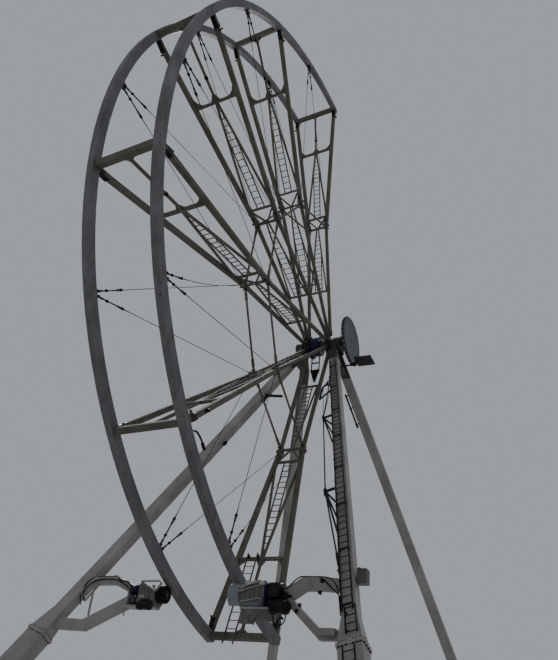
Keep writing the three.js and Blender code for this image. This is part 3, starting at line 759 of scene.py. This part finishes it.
cap = Metalwork(AT_HUB)
cap.turned((0, 1.178, 0), (0, 1.3, 0),
           ((0, 0.3), (0.2, 0.3), (0.22, 0.24), (0.7, 0.22), (0.95, 0.16), (1, 0.1)), 24)
made(cap, "bearing_cap_far", DARK)
seats = [(HUB + polar(0.27, 30 * i, 1.204), (0, 1, 0)) for i in range(12)]
fit_bolts("cap_bolts", seats, 0.02, "tower")
ring_of_blocks("drum_bolts", [shift(HUB.x, y, HUB.z) for y in (-0.065, 0.405)], ZINC, "wheel",
               24, 0.44, (0.035, 0.035, 0.05))

# %% [markdown]
# ## The disc and its edge
# The grey disc in front of the hub has a dark toothed edge with paler studs round it, made by the
# ring tree, and raised rings and ribs finish its faces.

# %% Disc teeth and face
DISC_R, DISC_FRONT, DISC_BACK = 1.215, 1.69, 1.56
middle = shift(HUB.x, -(DISC_FRONT + DISC_BACK) / 2, HUB.z)
ring_of_blocks("disc_teeth", [middle], DARK, "tower", 96, DISC_R - 0.008, (0.045, 0.042, 0.1))
ring_of_blocks("disc_studs", [middle], ZINC, "tower", 32, DISC_R + 0.006, (0.05, 0.11, 0.045))


def ring_band(metal, y0, y1, inner, outer, sides=48):
    """A flat ring about the axle, closed all round."""
    corners = ((y0, inner), (y0, outer), (y1, outer), (y1, inner))
    ring = [[metal.shell.verts.new(HUB + polar(r, 360 * i / sides, y)) for y, r in corners]
            for i in range(sides)]
    for a, b in zip(ring, ring[1:] + ring[:1]):
        metal.join(a, b)


face = Metalwork(AT_HUB)
for y0, y1 in ((-DISC_FRONT - 0.012, -DISC_FRONT + 0.004), (-DISC_BACK - 0.004, -DISC_BACK + 0.014)):
    ring_band(face, y0, y1, DISC_R - 0.1, DISC_R - 0.05)
for i in range(8):
    turn = 22.5 + 45 * i
    face.bar(polar(0.22, turn, 0.02 - DISC_BACK), polar(1.1, turn, 0.01 - DISC_BACK), 0.04, 0.05)
face.turned((0, -DISC_FRONT + 0.004, 0), (0, -DISC_FRONT - 0.02, 0), ((0, 0.1), (0.6, 0.09), (1, 0.06)), 24)
made(face, "disc_face", GREY)

# %% [markdown]
# ## The drives
# A rubber tyre on each side grips the rim and turns the wheel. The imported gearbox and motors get
# what makes them read as machines: covers, ribs, fins, a terminal box, hoses and bolts.

# %% Sizes of the two drives
GEAR_IN, GEAR_TOP, GEAR_LOW, GEAR_X = 1.42, 0.356, -0.334, 0.23
TYRE_Y, TYRE_HALF, TYRE_R = 1.28, 0.1, 0.25
SIZES = {
    "near": {"out": 2.15, "fall": 0.0, "crown": GEAR_TOP,
             "upper": (0.143, 2.66, 0.19), "lower": (-0.187, 2.7, 0.137)},
    "far": {"out": 2.04, "fall": 0.28, "crown": 0.3,
            "upper": (0.126, 2.44, 0.14), "lower": (-0.179, 2.38, 0.125)},
}


# %% Gearbox covers
def gearbox_covers(metal, place, size, seats):
    """Side covers with ribs and bolts, a lid and a filler cap, all following the sloped top."""
    metal.at(place)
    out, fall, crown = size["out"], size["fall"], size["crown"]

    def top(y):
        return min(crown - fall * (out - y), GEAR_TOP) - 0.1

    low, half = GEAR_LOW + 0.1, GEAR_X + 0.012
    y0, y1 = GEAR_IN + 0.05, out - 0.04
    for s in (-1, 1):
        x = s * GEAR_X
        metal.plate([(x, y0, low), (x, y1, low), (x, y1, top(y1)), (x, y0, top(y0))], (s * 0.02, 0, 0))
        for share in (0.2, 0.42, 0.64, 0.86):
            y = y0 + (y1 - y0) * share
            metal.bar((x + s * 0.024, y, low + 0.02), (x + s * 0.024, y, top(y) - 0.02), 0.028, 0.03)
        for y in (y0 + 0.03, (y0 + y1) / 2 - 0.06, y1 - 0.03):
            seats += [seat(place, (x + s * 0.02, y, z), (s, 0, 0)) for z in (low + 0.03, top(y) - 0.03)]
    for y in (GEAR_IN + 0.02, out - 0.07):
        eaves = ((half, low - 0.01), (half, top(y) + 0.012), (half - 0.09, top(y) + 0.112))
        right = [(half - 0.09, y, GEAR_LOW - 0.004)] + [(x, y, z) for x, z in eaves]
        metal.plate(right + [(-x, y, z) for x, y, z in right[::-1]], (0, 0.045, 0))
    y = out - 0.3
    metal.turned((0.06, y, top(y) + 0.09), (0.06, y, top(y) + 0.17),
                 ((0, 0.035), (0.6, 0.035), (0.6, 0.05), (1, 0.05)), 10)


covers, seats = Metalwork(), []
for name, place in DRIVES.items():
    gearbox_covers(covers, place, SIZES[name], seats)
made(covers, "gearbox_covers", CASTING)
fit_bolts("gearbox_bolts", seats, 0.014, "tower")

# %% Tyres
TREAD = ((0, 0.16), (0.06, 0.216), (0.16, 0.243), (0.3, TYRE_R + 0.001), (0.7, TYRE_R + 0.001),
         (0.84, 0.243), (0.94, 0.216), (1, 0.16))
for name, place in DRIVES.items():
    grip, rim, cap = Metalwork(place), Metalwork(place), Metalwork(place)
    face = TYRE_Y - TYRE_HALF
    grip.turned((0, face - 0.004, 0), (0, TYRE_Y + TYRE_HALF + 0.004, 0), TREAD, 40)
    made(grip, "tyre_tread_" + name, RUBBER, "tyre_" + name, 50)
    rim.turned((0, face - 0.003, 0), (0, face - 0.024, 0), ((0, 0.135), (0.4, 0.135), (1, 0.1)), 24)
    rim.turned((0, face - 0.024, 0), (0, face - 0.045, 0), ((0, 0.045), (1, 0.036)), 12)
    for i in range(6):
        rim.rod(polar(0.075, 60 * i, face - 0.024), polar(0.075, 60 * i, face - 0.038), 0.01, 6)
    made(rim, "tyre_hub_" + name, BLACK, "tyre_" + name)
    cap.turned((0, face - 0.045, 0), (0, face - 0.058, 0), ((0, 0.026), (0.5, 0.026), (1, 0.016)), 12)
    made(cap, "tyre_cap_" + name, ZINC, "tyre_" + name)


# %% Motors
def motor_bell(metal, z, y0, y1, radius):
    """End bell and fan cowl of a motor, from y0 to just past its end."""
    metal.turned((0, y0, z), (0, y1 + 0.004, z),
                 ((0, radius * 1.03), (0.35, radius * 1.05), (0.8, radius * 0.98), (1, radius * 0.76)), 24)


def motor_fins(name, drive, paint, z, y0, y1, radius, count):
    """Cooling fins along a motor, from the ring tree turned onto its axis."""
    place = DRIVES[drive] @ shift(0, (y0 + y1) / 2, z)
    ring_of_blocks(name + drive, [place], paint, "tower", count, radius + 0.008, (0.03, 0.008, y1 - y0))


blue, black, grey = Metalwork(), Metalwork(), Metalwork()
for drive, size in SIZES.items():
    out, is_near = size["out"], drive == "near"
    for metal in (blue, black, grey):
        metal.at(DRIVES[drive])
    z, end, radius = size["upper"]
    blue.rod((0, out + 0.05, z), (0, out + 0.085, z), radius * 1.05, 24)
    motor_bell(black if is_near else blue, z, out + (0.26 if is_near else 0.27), end, radius)
    motor_fins("upper_fins_", drive, BLUE, z, out + 0.09, out + 0.25, radius, 36)
    z, end, radius = size["lower"]
    lower = black if is_near else grey
    lower.rod((0, out + 0.05, z), (0, out + 0.08, z), radius * 1.06, 24)
    motor_bell(lower, z, end - 0.12, end, radius)
    motor_fins("lower_fins_", drive, BLACK if is_near else GREY, z, out + 0.08, end - 0.13, radius, 28)
made(blue, "motor_shells_blue", BLUE)
made(black, "motor_shells_black", BLACK)
made(grey, "motor_shells_grey", GREY)

# %% [markdown]
# ## What hangs on the drives
# The photograph shows a black motor low on the camera side, a terminal box, tie rods across the
# gearbox, a skirt panel below it and, on the far drive, a pale bracket over the tyre. They are
# drawn in the drive's own directions: Y away from the wheel.

# %% Black motors and the terminal box
GLAND = ((0, 0.028), (0.5, 0.028), (0.5, 0.02), (1, 0.02))


def low_motor(metal, z, start, end, radius):
    """A black motor slung beside the drive, with its flange, cowl and end bell."""
    profile = ((0, 0.74), (0.05, 1), (0.22, 1), (0.24, 0.91), (0.68, 0.91), (0.7, 1.03), (0.92, 1), (1, 0.67))
    metal.turned((-0.34, start, z), (-0.34, end, z), [(t, r * radius) for t, r in profile], 24)


def terminal_box(metal, y0, y1, low, high):
    metal.block((-0.4, y0, low), (-0.15, y1, high))
    metal.block((-0.415, y0 - 0.012, low - 0.012), (-0.395, y1 + 0.012, high + 0.012))
    for z in (low + 0.04, high - 0.04):
        for y in (y0 + 0.03, y1 - 0.03):
            metal.rod((-0.415, y, z), (-0.43, y, z), 0.012, 6)
    for y in (y0 + 0.06, y1 - 0.06):
        metal.turned((-0.28, y, low), (-0.28, y, low - 0.07), GLAND, 10)


def tie_rod(metal, a, b, radius):
    """A rod with a forked eye on each end."""
    a, b = Vector(a), Vector(b)
    way = (b - a).normalized()
    metal.rod(a, b, radius, 10)
    for end, s in ((a, 1), (b, -1)):
        eye = ((0, radius * 1.8), (0.7, radius * 1.8), (1, radius * 1.1))
        metal.turned(end, end + way * (s * 0.13), eye, 10)
        metal.rod(end - Vector((0.04, 0, 0)), end + Vector((0.07, 0, 0)), radius * 1.4, 10)


SKIRT_X, SKIRT_TOP = -0.205, -0.394
black, pale, grey = Metalwork(near), Metalwork(near), Metalwork(near)
low_motor(black, -0.36, 2.46, 3.0, 0.18)
black.block((-0.4, 2.62, -0.24), (-0.13, 2.84, -0.17))
terminal_box(black, 2.4, 2.68, -0.1, 0.24)
black.turned((-0.148, 2.745, -0.03), (-0.215, 2.745, -0.03), ((0, 0.12), (0.7, 0.12), (1, 0.1)), 20)
tie_rod(pale, (-0.29, 1.44, 0.063), (-0.29, 2.19, 0.253), 0.02)
tie_rod(pale, (-0.29, 1.46, 0.156), (-0.29, 1.96, 0.306), 0.024)
for a, b in (((1.5, -0.21), (2.05, -0.12)), ((2.05, -0.12), (2.13, -0.16))):
    pale.bar((-0.262, *a), (-0.262, *b), 0.03, 0.04, (0, 0, 1))
grey.plate([(SKIRT_X, y, z) for y, z in ((1.5, SKIRT_TOP), (1.5, -0.76), (1.86, -0.77), (2.03, -0.66),
                                         (2.5, -0.7), (2.52, SKIRT_TOP))], (0.02, 0, 0))
for y, low in ((1.51, -0.75), (1.86, -0.76), (2.5, -0.69)):
    grey.block((-0.195, y - 0.012, low), (-0.02, y + 0.012, SKIRT_TOP))
grey.block((-0.215, 1.49, -0.42), (-0.185, 2.53, SKIRT_TOP))

for metal in (black, pale):
    metal.at(far)
low_motor(black, -0.37, 1.4, 1.88, 0.13)
black.block((-0.4, 1.52, -0.26), (-0.225, 1.74, -0.2))
apex, top, tail, hook = (-0.29, 1.38, 0.05), (-0.29, 1.94, 0.326), (-0.29, 1.3, 0.335), (-0.29, 1.21, 0.27)
for a, b in ((top, apex), (apex, hook), (top, tail), (tail, hook), (top, (-0.18, 1.94, 0.23))):
    pale.bar(a, b, 0.045, 0.045)
pale.bar((-0.31, 1.6, 0.17), (-0.2, 1.6, 0.1), 0.04, 0.04)
pale.block((-0.275, 1.76, -0.145), (-0.235, 1.95, -0.055))
pale.block((-0.275, 1.85, -0.42), (-0.225, 2.04, -0.35))
made(black, "drive_black_motors", BLACK)
made(pale, "drive_tie_rods", STEEL)
made(grey, "drive_skirts", CASTING)

# %% [markdown]
# ## Joints and props on the drive arms
# Round bosses show on the near arm, a lug hangs under it, and the far one has thin pale props
# and a brace inside its bend.

# %% Arm bosses, lugs and props
BOSS = ((0, 0.055), (0.5, 0.055), (0.5, 0.038), (1, 0.032))
bosses = Metalwork(near)
for x, y, z in ((-0.11, 2.9, -0.05), (-0.255, 3.18, -0.43), (-0.1, 3.78, 0.36)):
    bosses.turned((x + 0.004, y, z), (x - 0.045, y, z), BOSS, 16)
bosses.block((-0.19, 3.17, -0.36), (-0.13, 3.25, -0.22))
bosses.block((-0.035, 3.65, 0.05), (0.035, 3.74, 0.13))
bosses.rod((-0.055, 3.695, 0.065), (0.055, 3.695, 0.065), 0.03, 10)
made(bosses, "arm_bosses", BLACK)
props = Metalwork(far)
for a, b, wide, deep in (((-0.12, 3.73, 0.26), (-0.12, 4.14, -0.23), 0.06, 0.045),
                         ((-0.12, 3.89, 0.07), (-0.14, 3.83, -0.66), 0.05, 0.05),
                         ((-0.12, 4.14, -0.21), (-0.12, 4.26, 0.02), 0.05, 0.045),
                         ((-0.14, 2.55, -0.37), (-0.14, 2.47, -0.62), 0.035, 0.035)):
    props.bar(a, b, wide, deep, (1, 0, 0))
made(props, "far_arm_props", STEEL)

# %% [markdown]
# ## Hoses and cables
# Each hose leaves one fitting and enters another. Its path is a smooth curve through a few
# points.

# %% A hose from a few points
def smooth(points, steps=6):
    """A curve through the points with no corner (Catmull-Rom)."""
    points = [Vector(p) for p in points]
    padded = [points[0] * 2 - points[1]] + points + [points[-1] * 2 - points[-2]]
    path = []
    for a, b, c, d in zip(padded, padded[1:], padded[2:], padded[3:]):
        for t in (i / steps for i in range(steps)):
            path.append(0.5 * (2 * b + (c - a) * t + (2 * a - 5 * b + 4 * c - d) * t ** 2
                               + (3 * b - a - 3 * c + d) * t ** 3))
    return path + [points[-1]]


def hose(name, place, thick, points):
    path = [place @ p for p in smooth(points)]
    metal = Metalwork()
    metal.tube(path, thick / 2)
    piece = made(metal, name, RUBBER, smooth=60)


def down_the_leg(away, *stations):
    """Points on the near left leg's inner side, each given by its height and its place inwards."""
    return [tuple(near.inverted() @ leg_face(-1, -1, z, inwards, away)) for z, inwards in stations]


# %% Hoses on the drives and arms
hose("near_motor_hose", near, 0.032, [
    (-0.34, 2.56, -0.52), (-0.36, 2.57, -0.64), (-0.37, 2.62, -0.74), (-0.37, 2.71, -0.8),
    (-0.37, 2.81, -0.8), (-0.37, 2.89, -0.73), (-0.36, 2.92, -0.64), (-0.35, 2.92, -0.52)])
hose("near_skirt_hose", near, 0.014, [
    (-0.205, 1.79, -0.55), (-0.25, 1.79, -0.565), (-0.285, 1.795, -0.615), (-0.3, 1.825, -0.68),
    (-0.3, 1.88, -0.73), (-0.3, 1.945, -0.73), (-0.3, 2.00, -0.68), (-0.285, 2.03, -0.615),
    (-0.25, 2.035, -0.565), (-0.205, 2.035, -0.55)])
hose("near_arm_hose", near, 0.034, [
    (-0.17, 2.66, 0.12), (-0.14, 2.76, 0.16), (-0.13, 2.86, 0.23), (-0.13, 3.00, 0.36),
    (-0.12, 3.14, 0.46), (-0.07, 3.28, 0.485), (-0.05, 3.46, 0.484), (-0.07, 3.62, 0.478),
    (-0.115, 3.76, 0.43), (-0.13, 3.9, 0.33), (-0.14, 4.04, 0.2),
    *down_the_leg(0.13, (4.76, 0.27), (4.6, 0.24), (4.42, 0.222), (4.3, 0.222), (4.18, 0.222))])
hose("near_leg_hose", near, 0.026, [
    (-0.05, 3.5, 0.484), (-0.06, 3.66, 0.484), (-0.1, 3.82, 0.47), (-0.15, 3.96, 0.44), (-0.19, 4.08, 0.38),
    *down_the_leg(0.17, (4.95, 0.28), (4.75, 0.25), (4.5, 0.235), (4.3, 0.23), (4.15, 0.222))])
hose("far_arm_hose", far, 0.036, [
    (-0.12, 2.44, 0.2), (-0.12, 2.54, 0.32), (-0.12, 2.7, 0.375), (-0.11, 2.92, 0.4),
    (-0.07, 3.1, 0.537), (-0.05, 3.33, 0.533), (-0.05, 3.6, 0.533), (-0.06, 3.86, 0.53),
    (-0.1, 4.06, 0.47), (-0.13, 4.22, 0.34), (-0.13, 4.31, 0.18), (-0.13, 4.35, 0.01),
    (-0.13, 4.33, -0.18), (-0.14, 4.25, -0.34)])
hose("far_arm_hose_low", far, 0.034, [
    (-0.14, 2.44, 0.1), (-0.15, 2.58, 0.22), (-0.15, 2.78, 0.3), (-0.14, 3.00, 0.4),
    (-0.13, 3.2, 0.43), (-0.13, 3.45, 0.43), (-0.13, 3.7, 0.42), (-0.13, 3.9, 0.38),
    (-0.14, 4.05, 0.3), (-0.15, 4.17, 0.18), (-0.15, 4.24, 0.04), (-0.15, 4.22, -0.1),
    (-0.15, 4.12, -0.24)])

# %% [markdown]
# ## Access ladder below the lowest spoke
# Riggers reach the loading end of the wheel by a light ladder that hooks over the lowest spoke's
# tie and runs down past the rim tie.

# %% Access ladder
LOWEST = SPOKES[5]
LADDER_T, LADDER_MIDDLE, LADDER_WIDE = -0.15, 0.32, 0.185
rails, hooks = Metalwork(LOWEST), Metalwork(LOWEST)
for y in (LADDER_MIDDLE - LADDER_WIDE, LADDER_MIDDLE + LADDER_WIDE):
    rails.bar((12.05, y, LADDER_T), (15.3, y, LADDER_T), 0.03, 0.055)
    rails.bar((12.14, y, LADDER_T), (12.14, y, -0.05), 0.03, 0.05)
    rails.bar((14.9, y, LADDER_T), (14.9, y, -0.098), 0.03, 0.05)
    hooks.block((12.09, y - 0.045, -0.12), (12.26, y + 0.045, -0.05))
    hooks.rod((12.18, y - 0.06, -0.1), (12.18, y + 0.06, -0.1), 0.024)
made(rails, "access_ladder_rails", WHEEL_PAINTED_SHADE, "wheel")
ladder_rungs("access_ladder_rungs", [LOWEST @ shift(0, LADDER_MIDDLE, LADDER_T)], WHEEL_PAINTED_SHADE, "wheel",
             12.3, 15.25, LADDER_WIDE, 0.015, 0.28)
made(hooks, "access_ladder_hooks", BLACK, "wheel")

# %% [markdown]
# ## Knobs on the spokes' middle tubes
# Each spoke has a thin middle tube between its tie and the rim. A black screw sleeve sits on it
# and little gussets stand where it meets the tie and the rim's cross-beam.

# %% Middle tubes
TIE_FACE, BEAM_FACE = TIE_R + 0.05, RIM_R - 0.102
sleeves, gussets = Metalwork(*SPOKES), Metalwork(*SPOKE_SIDES)
sleeves.turned((13.02, 0, 0), (13.16, 0, 0), ((0, 0.06), (0.25, 0.078), (0.75, 0.078), (1, 0.06)), 12)
for x, y0, y1, tip in ((TIE_FACE, 0.055, 0.2, TIE_R + 0.3), (BEAM_FACE, 0.1, 0.26, RIM_R - 0.24)):
    gussets.plate([(x, y0, -0.012), (x, y1, -0.012), (tip, y0, -0.012)], (0, 0, 0.024))
made(sleeves, "middle_tube_sleeves", BLACK, "wheel")
made(gussets, "middle_tube_gussets", WHEEL_PAINTED_SHADE, "wheel")

# %% [markdown]
# ## A spare adjuster on the near rim
# Under the joint above the slack stay an unused adjuster hangs from its bracket, bent with time.

# %% Spare adjuster
spare = Metalwork(Matrix.Translation((HUB.x, HUB.y, 0)))
hang = [Vector((x, -RIM_Y, z)) for x, z in ((-10.66, 8.16), (-10.52, 8.23), (-10.38, 8.24), (-10.22, 8.18),
                                            (-10.08, 8.09), (-9.96, 7.99))]
spare.tube(smooth(hang, 4), 0.03)
spare.turned(hang[-1] + Vector((-0.13, 0, 0.1)), hang[-1] + Vector((0.05, 0, -0.05)),
             ((0, 0.035), (0.2, 0.055), (0.8, 0.055), (1, 0.03)), 10)
made(spare, "spare_adjuster", BLACK, "wheel")
bracket = Metalwork(SPOKES[4])
bracket.block((14.52, -RIM_Y - 0.05, -0.135), (FORK_HIGH, -RIM_Y + 0.05, -0.088))
bracket.bar((14.6, -RIM_Y, -0.1), (14.56, -RIM_Y, -0.22), 0.05, 0.07)
made(bracket, "spare_adjuster_bracket", WHEEL_PAINTED_SHADE, "wheel")

# %% [markdown]
# ## Under the hub
# Something dark hangs below the drum: two side bars and a wedge that comes to a point. It is
# drawn as a hanger bolted to the drum, since only its outline shows against the sky.

# %% Hub hanger and the hub's inner ribs
hanger = Metalwork(AT_HUB)
for y in (-0.03, 0.37):
    hanger.bar((0, y, -0.44), (0, y, -1.44), 0.035, 0.07)
    hanger.bar((-0.1, y, -0.5), (0.1, y, -0.5), 0.05, 0.1)
hanger.bar((0, -0.05, -0.98), (0, 0.39, -0.98), 0.05, 0.05)
hanger.plate([(-0.06, y, z) for y, z in ((-0.07, -1.4), (0.41, -1.4), (0.33, -1.66), (0.2, -2.08),
                                         (0.14, -2.08), (0.03, -1.66))], (0.12, 0, 0))
hanger.rod((-0.09, 0.17, -1.55), (0.09, 0.17, -1.55), 0.06, 10)
for y in (-0.415, 0.415):
    for i in range(12):
        hanger.bar(polar(0.3, 15 + 30 * i, y), polar(0.55, 15 + 30 * i, y), 0.06, 0.03)
made(hanger, "hub_hanger", BLACK, "wheel")

# %% [markdown]
# ## Small steelwork on the legs
# A landing hoop and two thin rods beside the ladder's top, a pipe along the near right leg, a
# work lamp bar on the far left one, fittings on the truss rod and a conduit beside the ladder.

# %% Hoop by the ladder's top and its two rods
def from_hub(x, y, z):
    return Vector((HUB.x + x, y, z))


hoop = Metalwork()
arch = [from_hub(*p) for p in ((-1.26, -0.735, 14.45), (-1.16, -0.74, 14.85), (-1.02, -0.76, 15.22),
                               (-0.94, -0.85, 15.37), (-0.93, -1.0, 15.37), (-0.98, -1.12, 15.24),
                               (-1.04, -1.2, 15.06))]
hoop.tube(smooth(arch, 4), 0.048)
hoop.bar(arch[0], leg_face(-1, -1, 14.45, 0.21, -0.05), 0.06, 0.06)
hoop.bar(arch[-1], leg_face(-1, -1, 15.0, 0.21, -0.08), 0.07, 0.07)
hoop.bar(arch[3], leg_face(-1, -1, 15.5, 0.21, -0.08), 0.07, 0.07)
made(hoop, "ladder_hoop", BLACK)
rods = Metalwork()
for top in (arch[2], arch[5]):
    rods.rod(leg_face(-1, -1, 12.56, 0.62), top, 0.014, 6)
made(rods, "hoop_rods", WIRE)

# %% Pipe on the near right leg, lamp bar and lug on the far left leg
PIPE_Y, PIPE_Z = 0.3, -0.2
x0, x1 = 14.7 * LEG_K, 16.15 * LEG_K
pipe = Metalwork(NEAR_RIGHT)
pipe.rod((x0, PIPE_Y, PIPE_Z), (x1, PIPE_Y, PIPE_Z), 0.045, 10)
pipe.turned((x0 - 0.06, PIPE_Y, PIPE_Z), (x0 + 0.1, PIPE_Y, PIPE_Z), ((0, 0.06), (0.7, 0.06), (1, 0.045)), 10)
for x in (x0 + 0.12, x0 + 0.95, x1 - 0.1):
    pipe.bar((x, 0.19, -0.15), (x, PIPE_Y, PIPE_Z), 0.05, 0.05)
    pipe.rod((x - 0.03, PIPE_Y, PIPE_Z), (x + 0.03, PIPE_Y, PIPE_Z), 0.062, 10)
made(pipe, "leg_pipe", BLACK)

lamp_bar = Metalwork()
left, right = from_hub(-2.03, 1.6, 14.58), from_hub(-1.9, 0.84, 14.5)
lamp_bar.bar(left, right, 0.09, 0.09)
lamp_bar.bar(left.lerp(right, 0.12), leg_face(-1, 1, 14.2, 0.2), 0.05, 0.05)
lamp_bar.bar(left + Vector((0, 0.02, 0.05)), left + Vector((0, 0.02, -0.3)), 0.07, 0.05)
lamp_bar.turned(right + Vector((0, -0.01, 0)), right + Vector((0, 0.05, 0)), ((0, 0.05), (1, 0.07)), 10)
lamp_bar.block(left + Vector((-0.06, -0.3, -0.09)), left + Vector((0.06, -0.14, 0)))
made(lamp_bar, "work_lamp_bar", BLACK)
lug = Metalwork(FAR_LEFT)
lug.block((11.55 * LEG_K, 0.205, -0.12), (11.73 * LEG_K, 0.3, -0.04))
lug.rod((11.64 * LEG_K, 0.27, -0.15), (11.64 * LEG_K, 0.27, -0.01), 0.03)
made(lug, "leg_lug", BLACK)

# %% Truss rod fittings and the conduit beside the ladder
low, high = Vector((5.5 * LEG_K, 0.24, 0)), Vector((15.3 * LEG_K, 0.24, 0))
tips = [Vector((z * LEG_K, 0.62, 0)) for z in (8.6, 12.56)]
fittings = Metalwork(NEAR_LEFT)
for a, b in ((low, tips[0]), (high, tips[1])):
    way = (b - a).normalized()
    fittings.turned(a + way * 0.12, a + way * 0.75, ((0, 0.034), (0.2, 0.045), (0.8, 0.045), (1, 0.034)), 10)
    fittings.rod(a + Vector((0, 0.02, -0.09)), a + Vector((0, 0.02, 0.09)), 0.035, 10)
for tip in tips:
    for s in (-1, 1):
        fittings.turned(tip + Vector((s * 0.03, 0, 0)), tip + Vector((s * 0.22, 0, 0)),
                        ((0, 0.055), (0.6, 0.05), (1, 0.035)), 10)
    fittings.rod(tip - Vector((0, 0, 0.08)), tip + Vector((0, 0, 0.08)), 0.045, 10)
made(fittings, "truss_rod_fittings", BLACK)

CONDUIT_Y, CONDUIT_Z, CLIP_PITCH = 0.184, 0.192, 1.2
x0, x1 = 4.3 * LEG_K, 16.2 * LEG_K
conduit = Metalwork(NEAR_LEFT)
conduit.rod((x0, CONDUIT_Y, CONDUIT_Z), (x1, CONDUIT_Y, CONDUIT_Z), 0.017)
x = x0 + 0.3
while x < x1:
    conduit.block((x - 0.015, 0.155, 0.171), (x + 0.015, 0.212, 0.214))
    x += CLIP_PITCH
made(conduit, "leg_conduit", BLACK)

# %% [markdown]
# ## Lowest ladder section, lamp louvres and speaker hook
# The ladder on the leg ends in a short separate section, a little to one side. The lamp panel
# has louvres and a frame on its underside and tilts on a swivel.

# %% Lowest ladder section
SECTION_Y, SECTION_Z, SECTION_PITCH = (0.06, -0.225), 0.29, 0.2275
foot_x, top_x = 3.6 * LEG_K, 4.24 * LEG_K
section = Metalwork(NEAR_LEFT)
for y in SECTION_Y:
    section.bar((foot_x, y, SECTION_Z), (top_x, y, SECTION_Z), 0.03, 0.05)
    for x in (foot_x + 0.12, top_x - 0.12):
        section.bar((x, y * 0.8, 0.19), (x, y, SECTION_Z), 0.03, 0.04)
for i in range(4):
    x = foot_x + 0.03 + SECTION_PITCH * i
    section.rod((x, SECTION_Y[0], SECTION_Z), (x, SECTION_Y[1], SECTION_Z), 0.014)
made(section, "shoe_ladder", BLACK)

# %% Lamp louvres and swivel
PANEL_HALF, UNDER = 0.355, 0.036
louvres, swivel = Metalwork(shift(HUB.x, 0, -UNDER)), Metalwork(shift(HUB.x, 0, 0))
inner, outer = (-1.965, 17.077), (-2.76, 17.0405)
for share in (-1, -0.66, -0.33, 0, 0.33, 0.66, 1):
    x = share * PANEL_HALF
    louvres.bar((x, *inner), (x, *outer), 0.04 if abs(share) == 1 else 0.022, 0.012, (1, 0, 0))
for end in (inner, outer):
    louvres.bar((-PANEL_HALF, *end), (PANEL_HALF, *end), 0.04, 0.012)
made(louvres, "lamp_louvres", GREY)
swivel.turned((-0.09, -1.88, 16.95), (0.09, -1.88, 16.95), ((0, 0.08), (0.15, 0.1), (0.85, 0.1), (1, 0.08)))
swivel.bar((0, -1.7, 16.92), (0, -1.9, 16.93), 0.09, 0.09, (1, 0, 0))
made(swivel, "lamp_swivel", BLACK)

# %% Speaker hook
SPEAKER_TOP = 5.144 * LEG_K + 0.19
hook = Metalwork(NEAR_LEFT)
hook.tube(smooth([(SPEAKER_TOP + up, y, 0.02) for up, y in (
    (-0.01, -0.35), (0.08, -0.35), (0.13, -0.34), (0.15, -0.31), (0.13, -0.28))], 4), 0.018)
hook.block((SPEAKER_TOP - 0.002, -0.39, -0.02), (SPEAKER_TOP + 0.012, -0.31, 0.06))
made(hook, "speaker_hook", BLACK)

# %% [markdown]
# ## Floor, sky and lights
# The photograph looks up against a pale sky, so the wheel is lit from behind and above with a
# broad soft light, and the near faces stay a little dark. The pale floor only grounds the legs.

# %% Floor and lights
def floor(half=400):
    mesh = bpy.data.meshes.new("floor")
    corners = [(x * half, y * half, 0) for x, y in ((-1, -1), (1, -1), (1, 1), (-1, 1))]
    mesh.from_pydata(corners, [], [(0, 1, 2, 3)])
    material = bpy.data.materials.new("floor")
    material.use_nodes = True
    shader = material.node_tree.nodes["Principled BSDF"]
    shader.inputs["Base Color"].default_value = (0.42, 0.42, 0.415, 1)
    shader.inputs["Roughness"].default_value = 0.9
    mesh.materials.append(material)
    return in_scene("floor", mesh)


def sky(strength):
    world = bpy.data.worlds.new("studio")
    world.use_nodes = True
    background = world.node_tree.nodes["Background"]
    background.inputs["Color"].default_value = (0.86, 0.9, 0.96, 1)
    background.inputs["Strength"].default_value = strength
    bpy.context.scene.world = world


def sun(name, power, softness, towards):
    light = bpy.data.lights.new(name, "SUN")
    light.energy, light.angle = power, math.radians(softness)
    lamp = in_scene(name, light)
    lamp.rotation_euler = Vector(towards).to_track_quat("Z", "Y").to_euler()
    return lamp


sky(strength=0.43)
floor()
sun("soft_sun", power=1.9, softness=36, towards=(0.64, 0.44, 0.62))
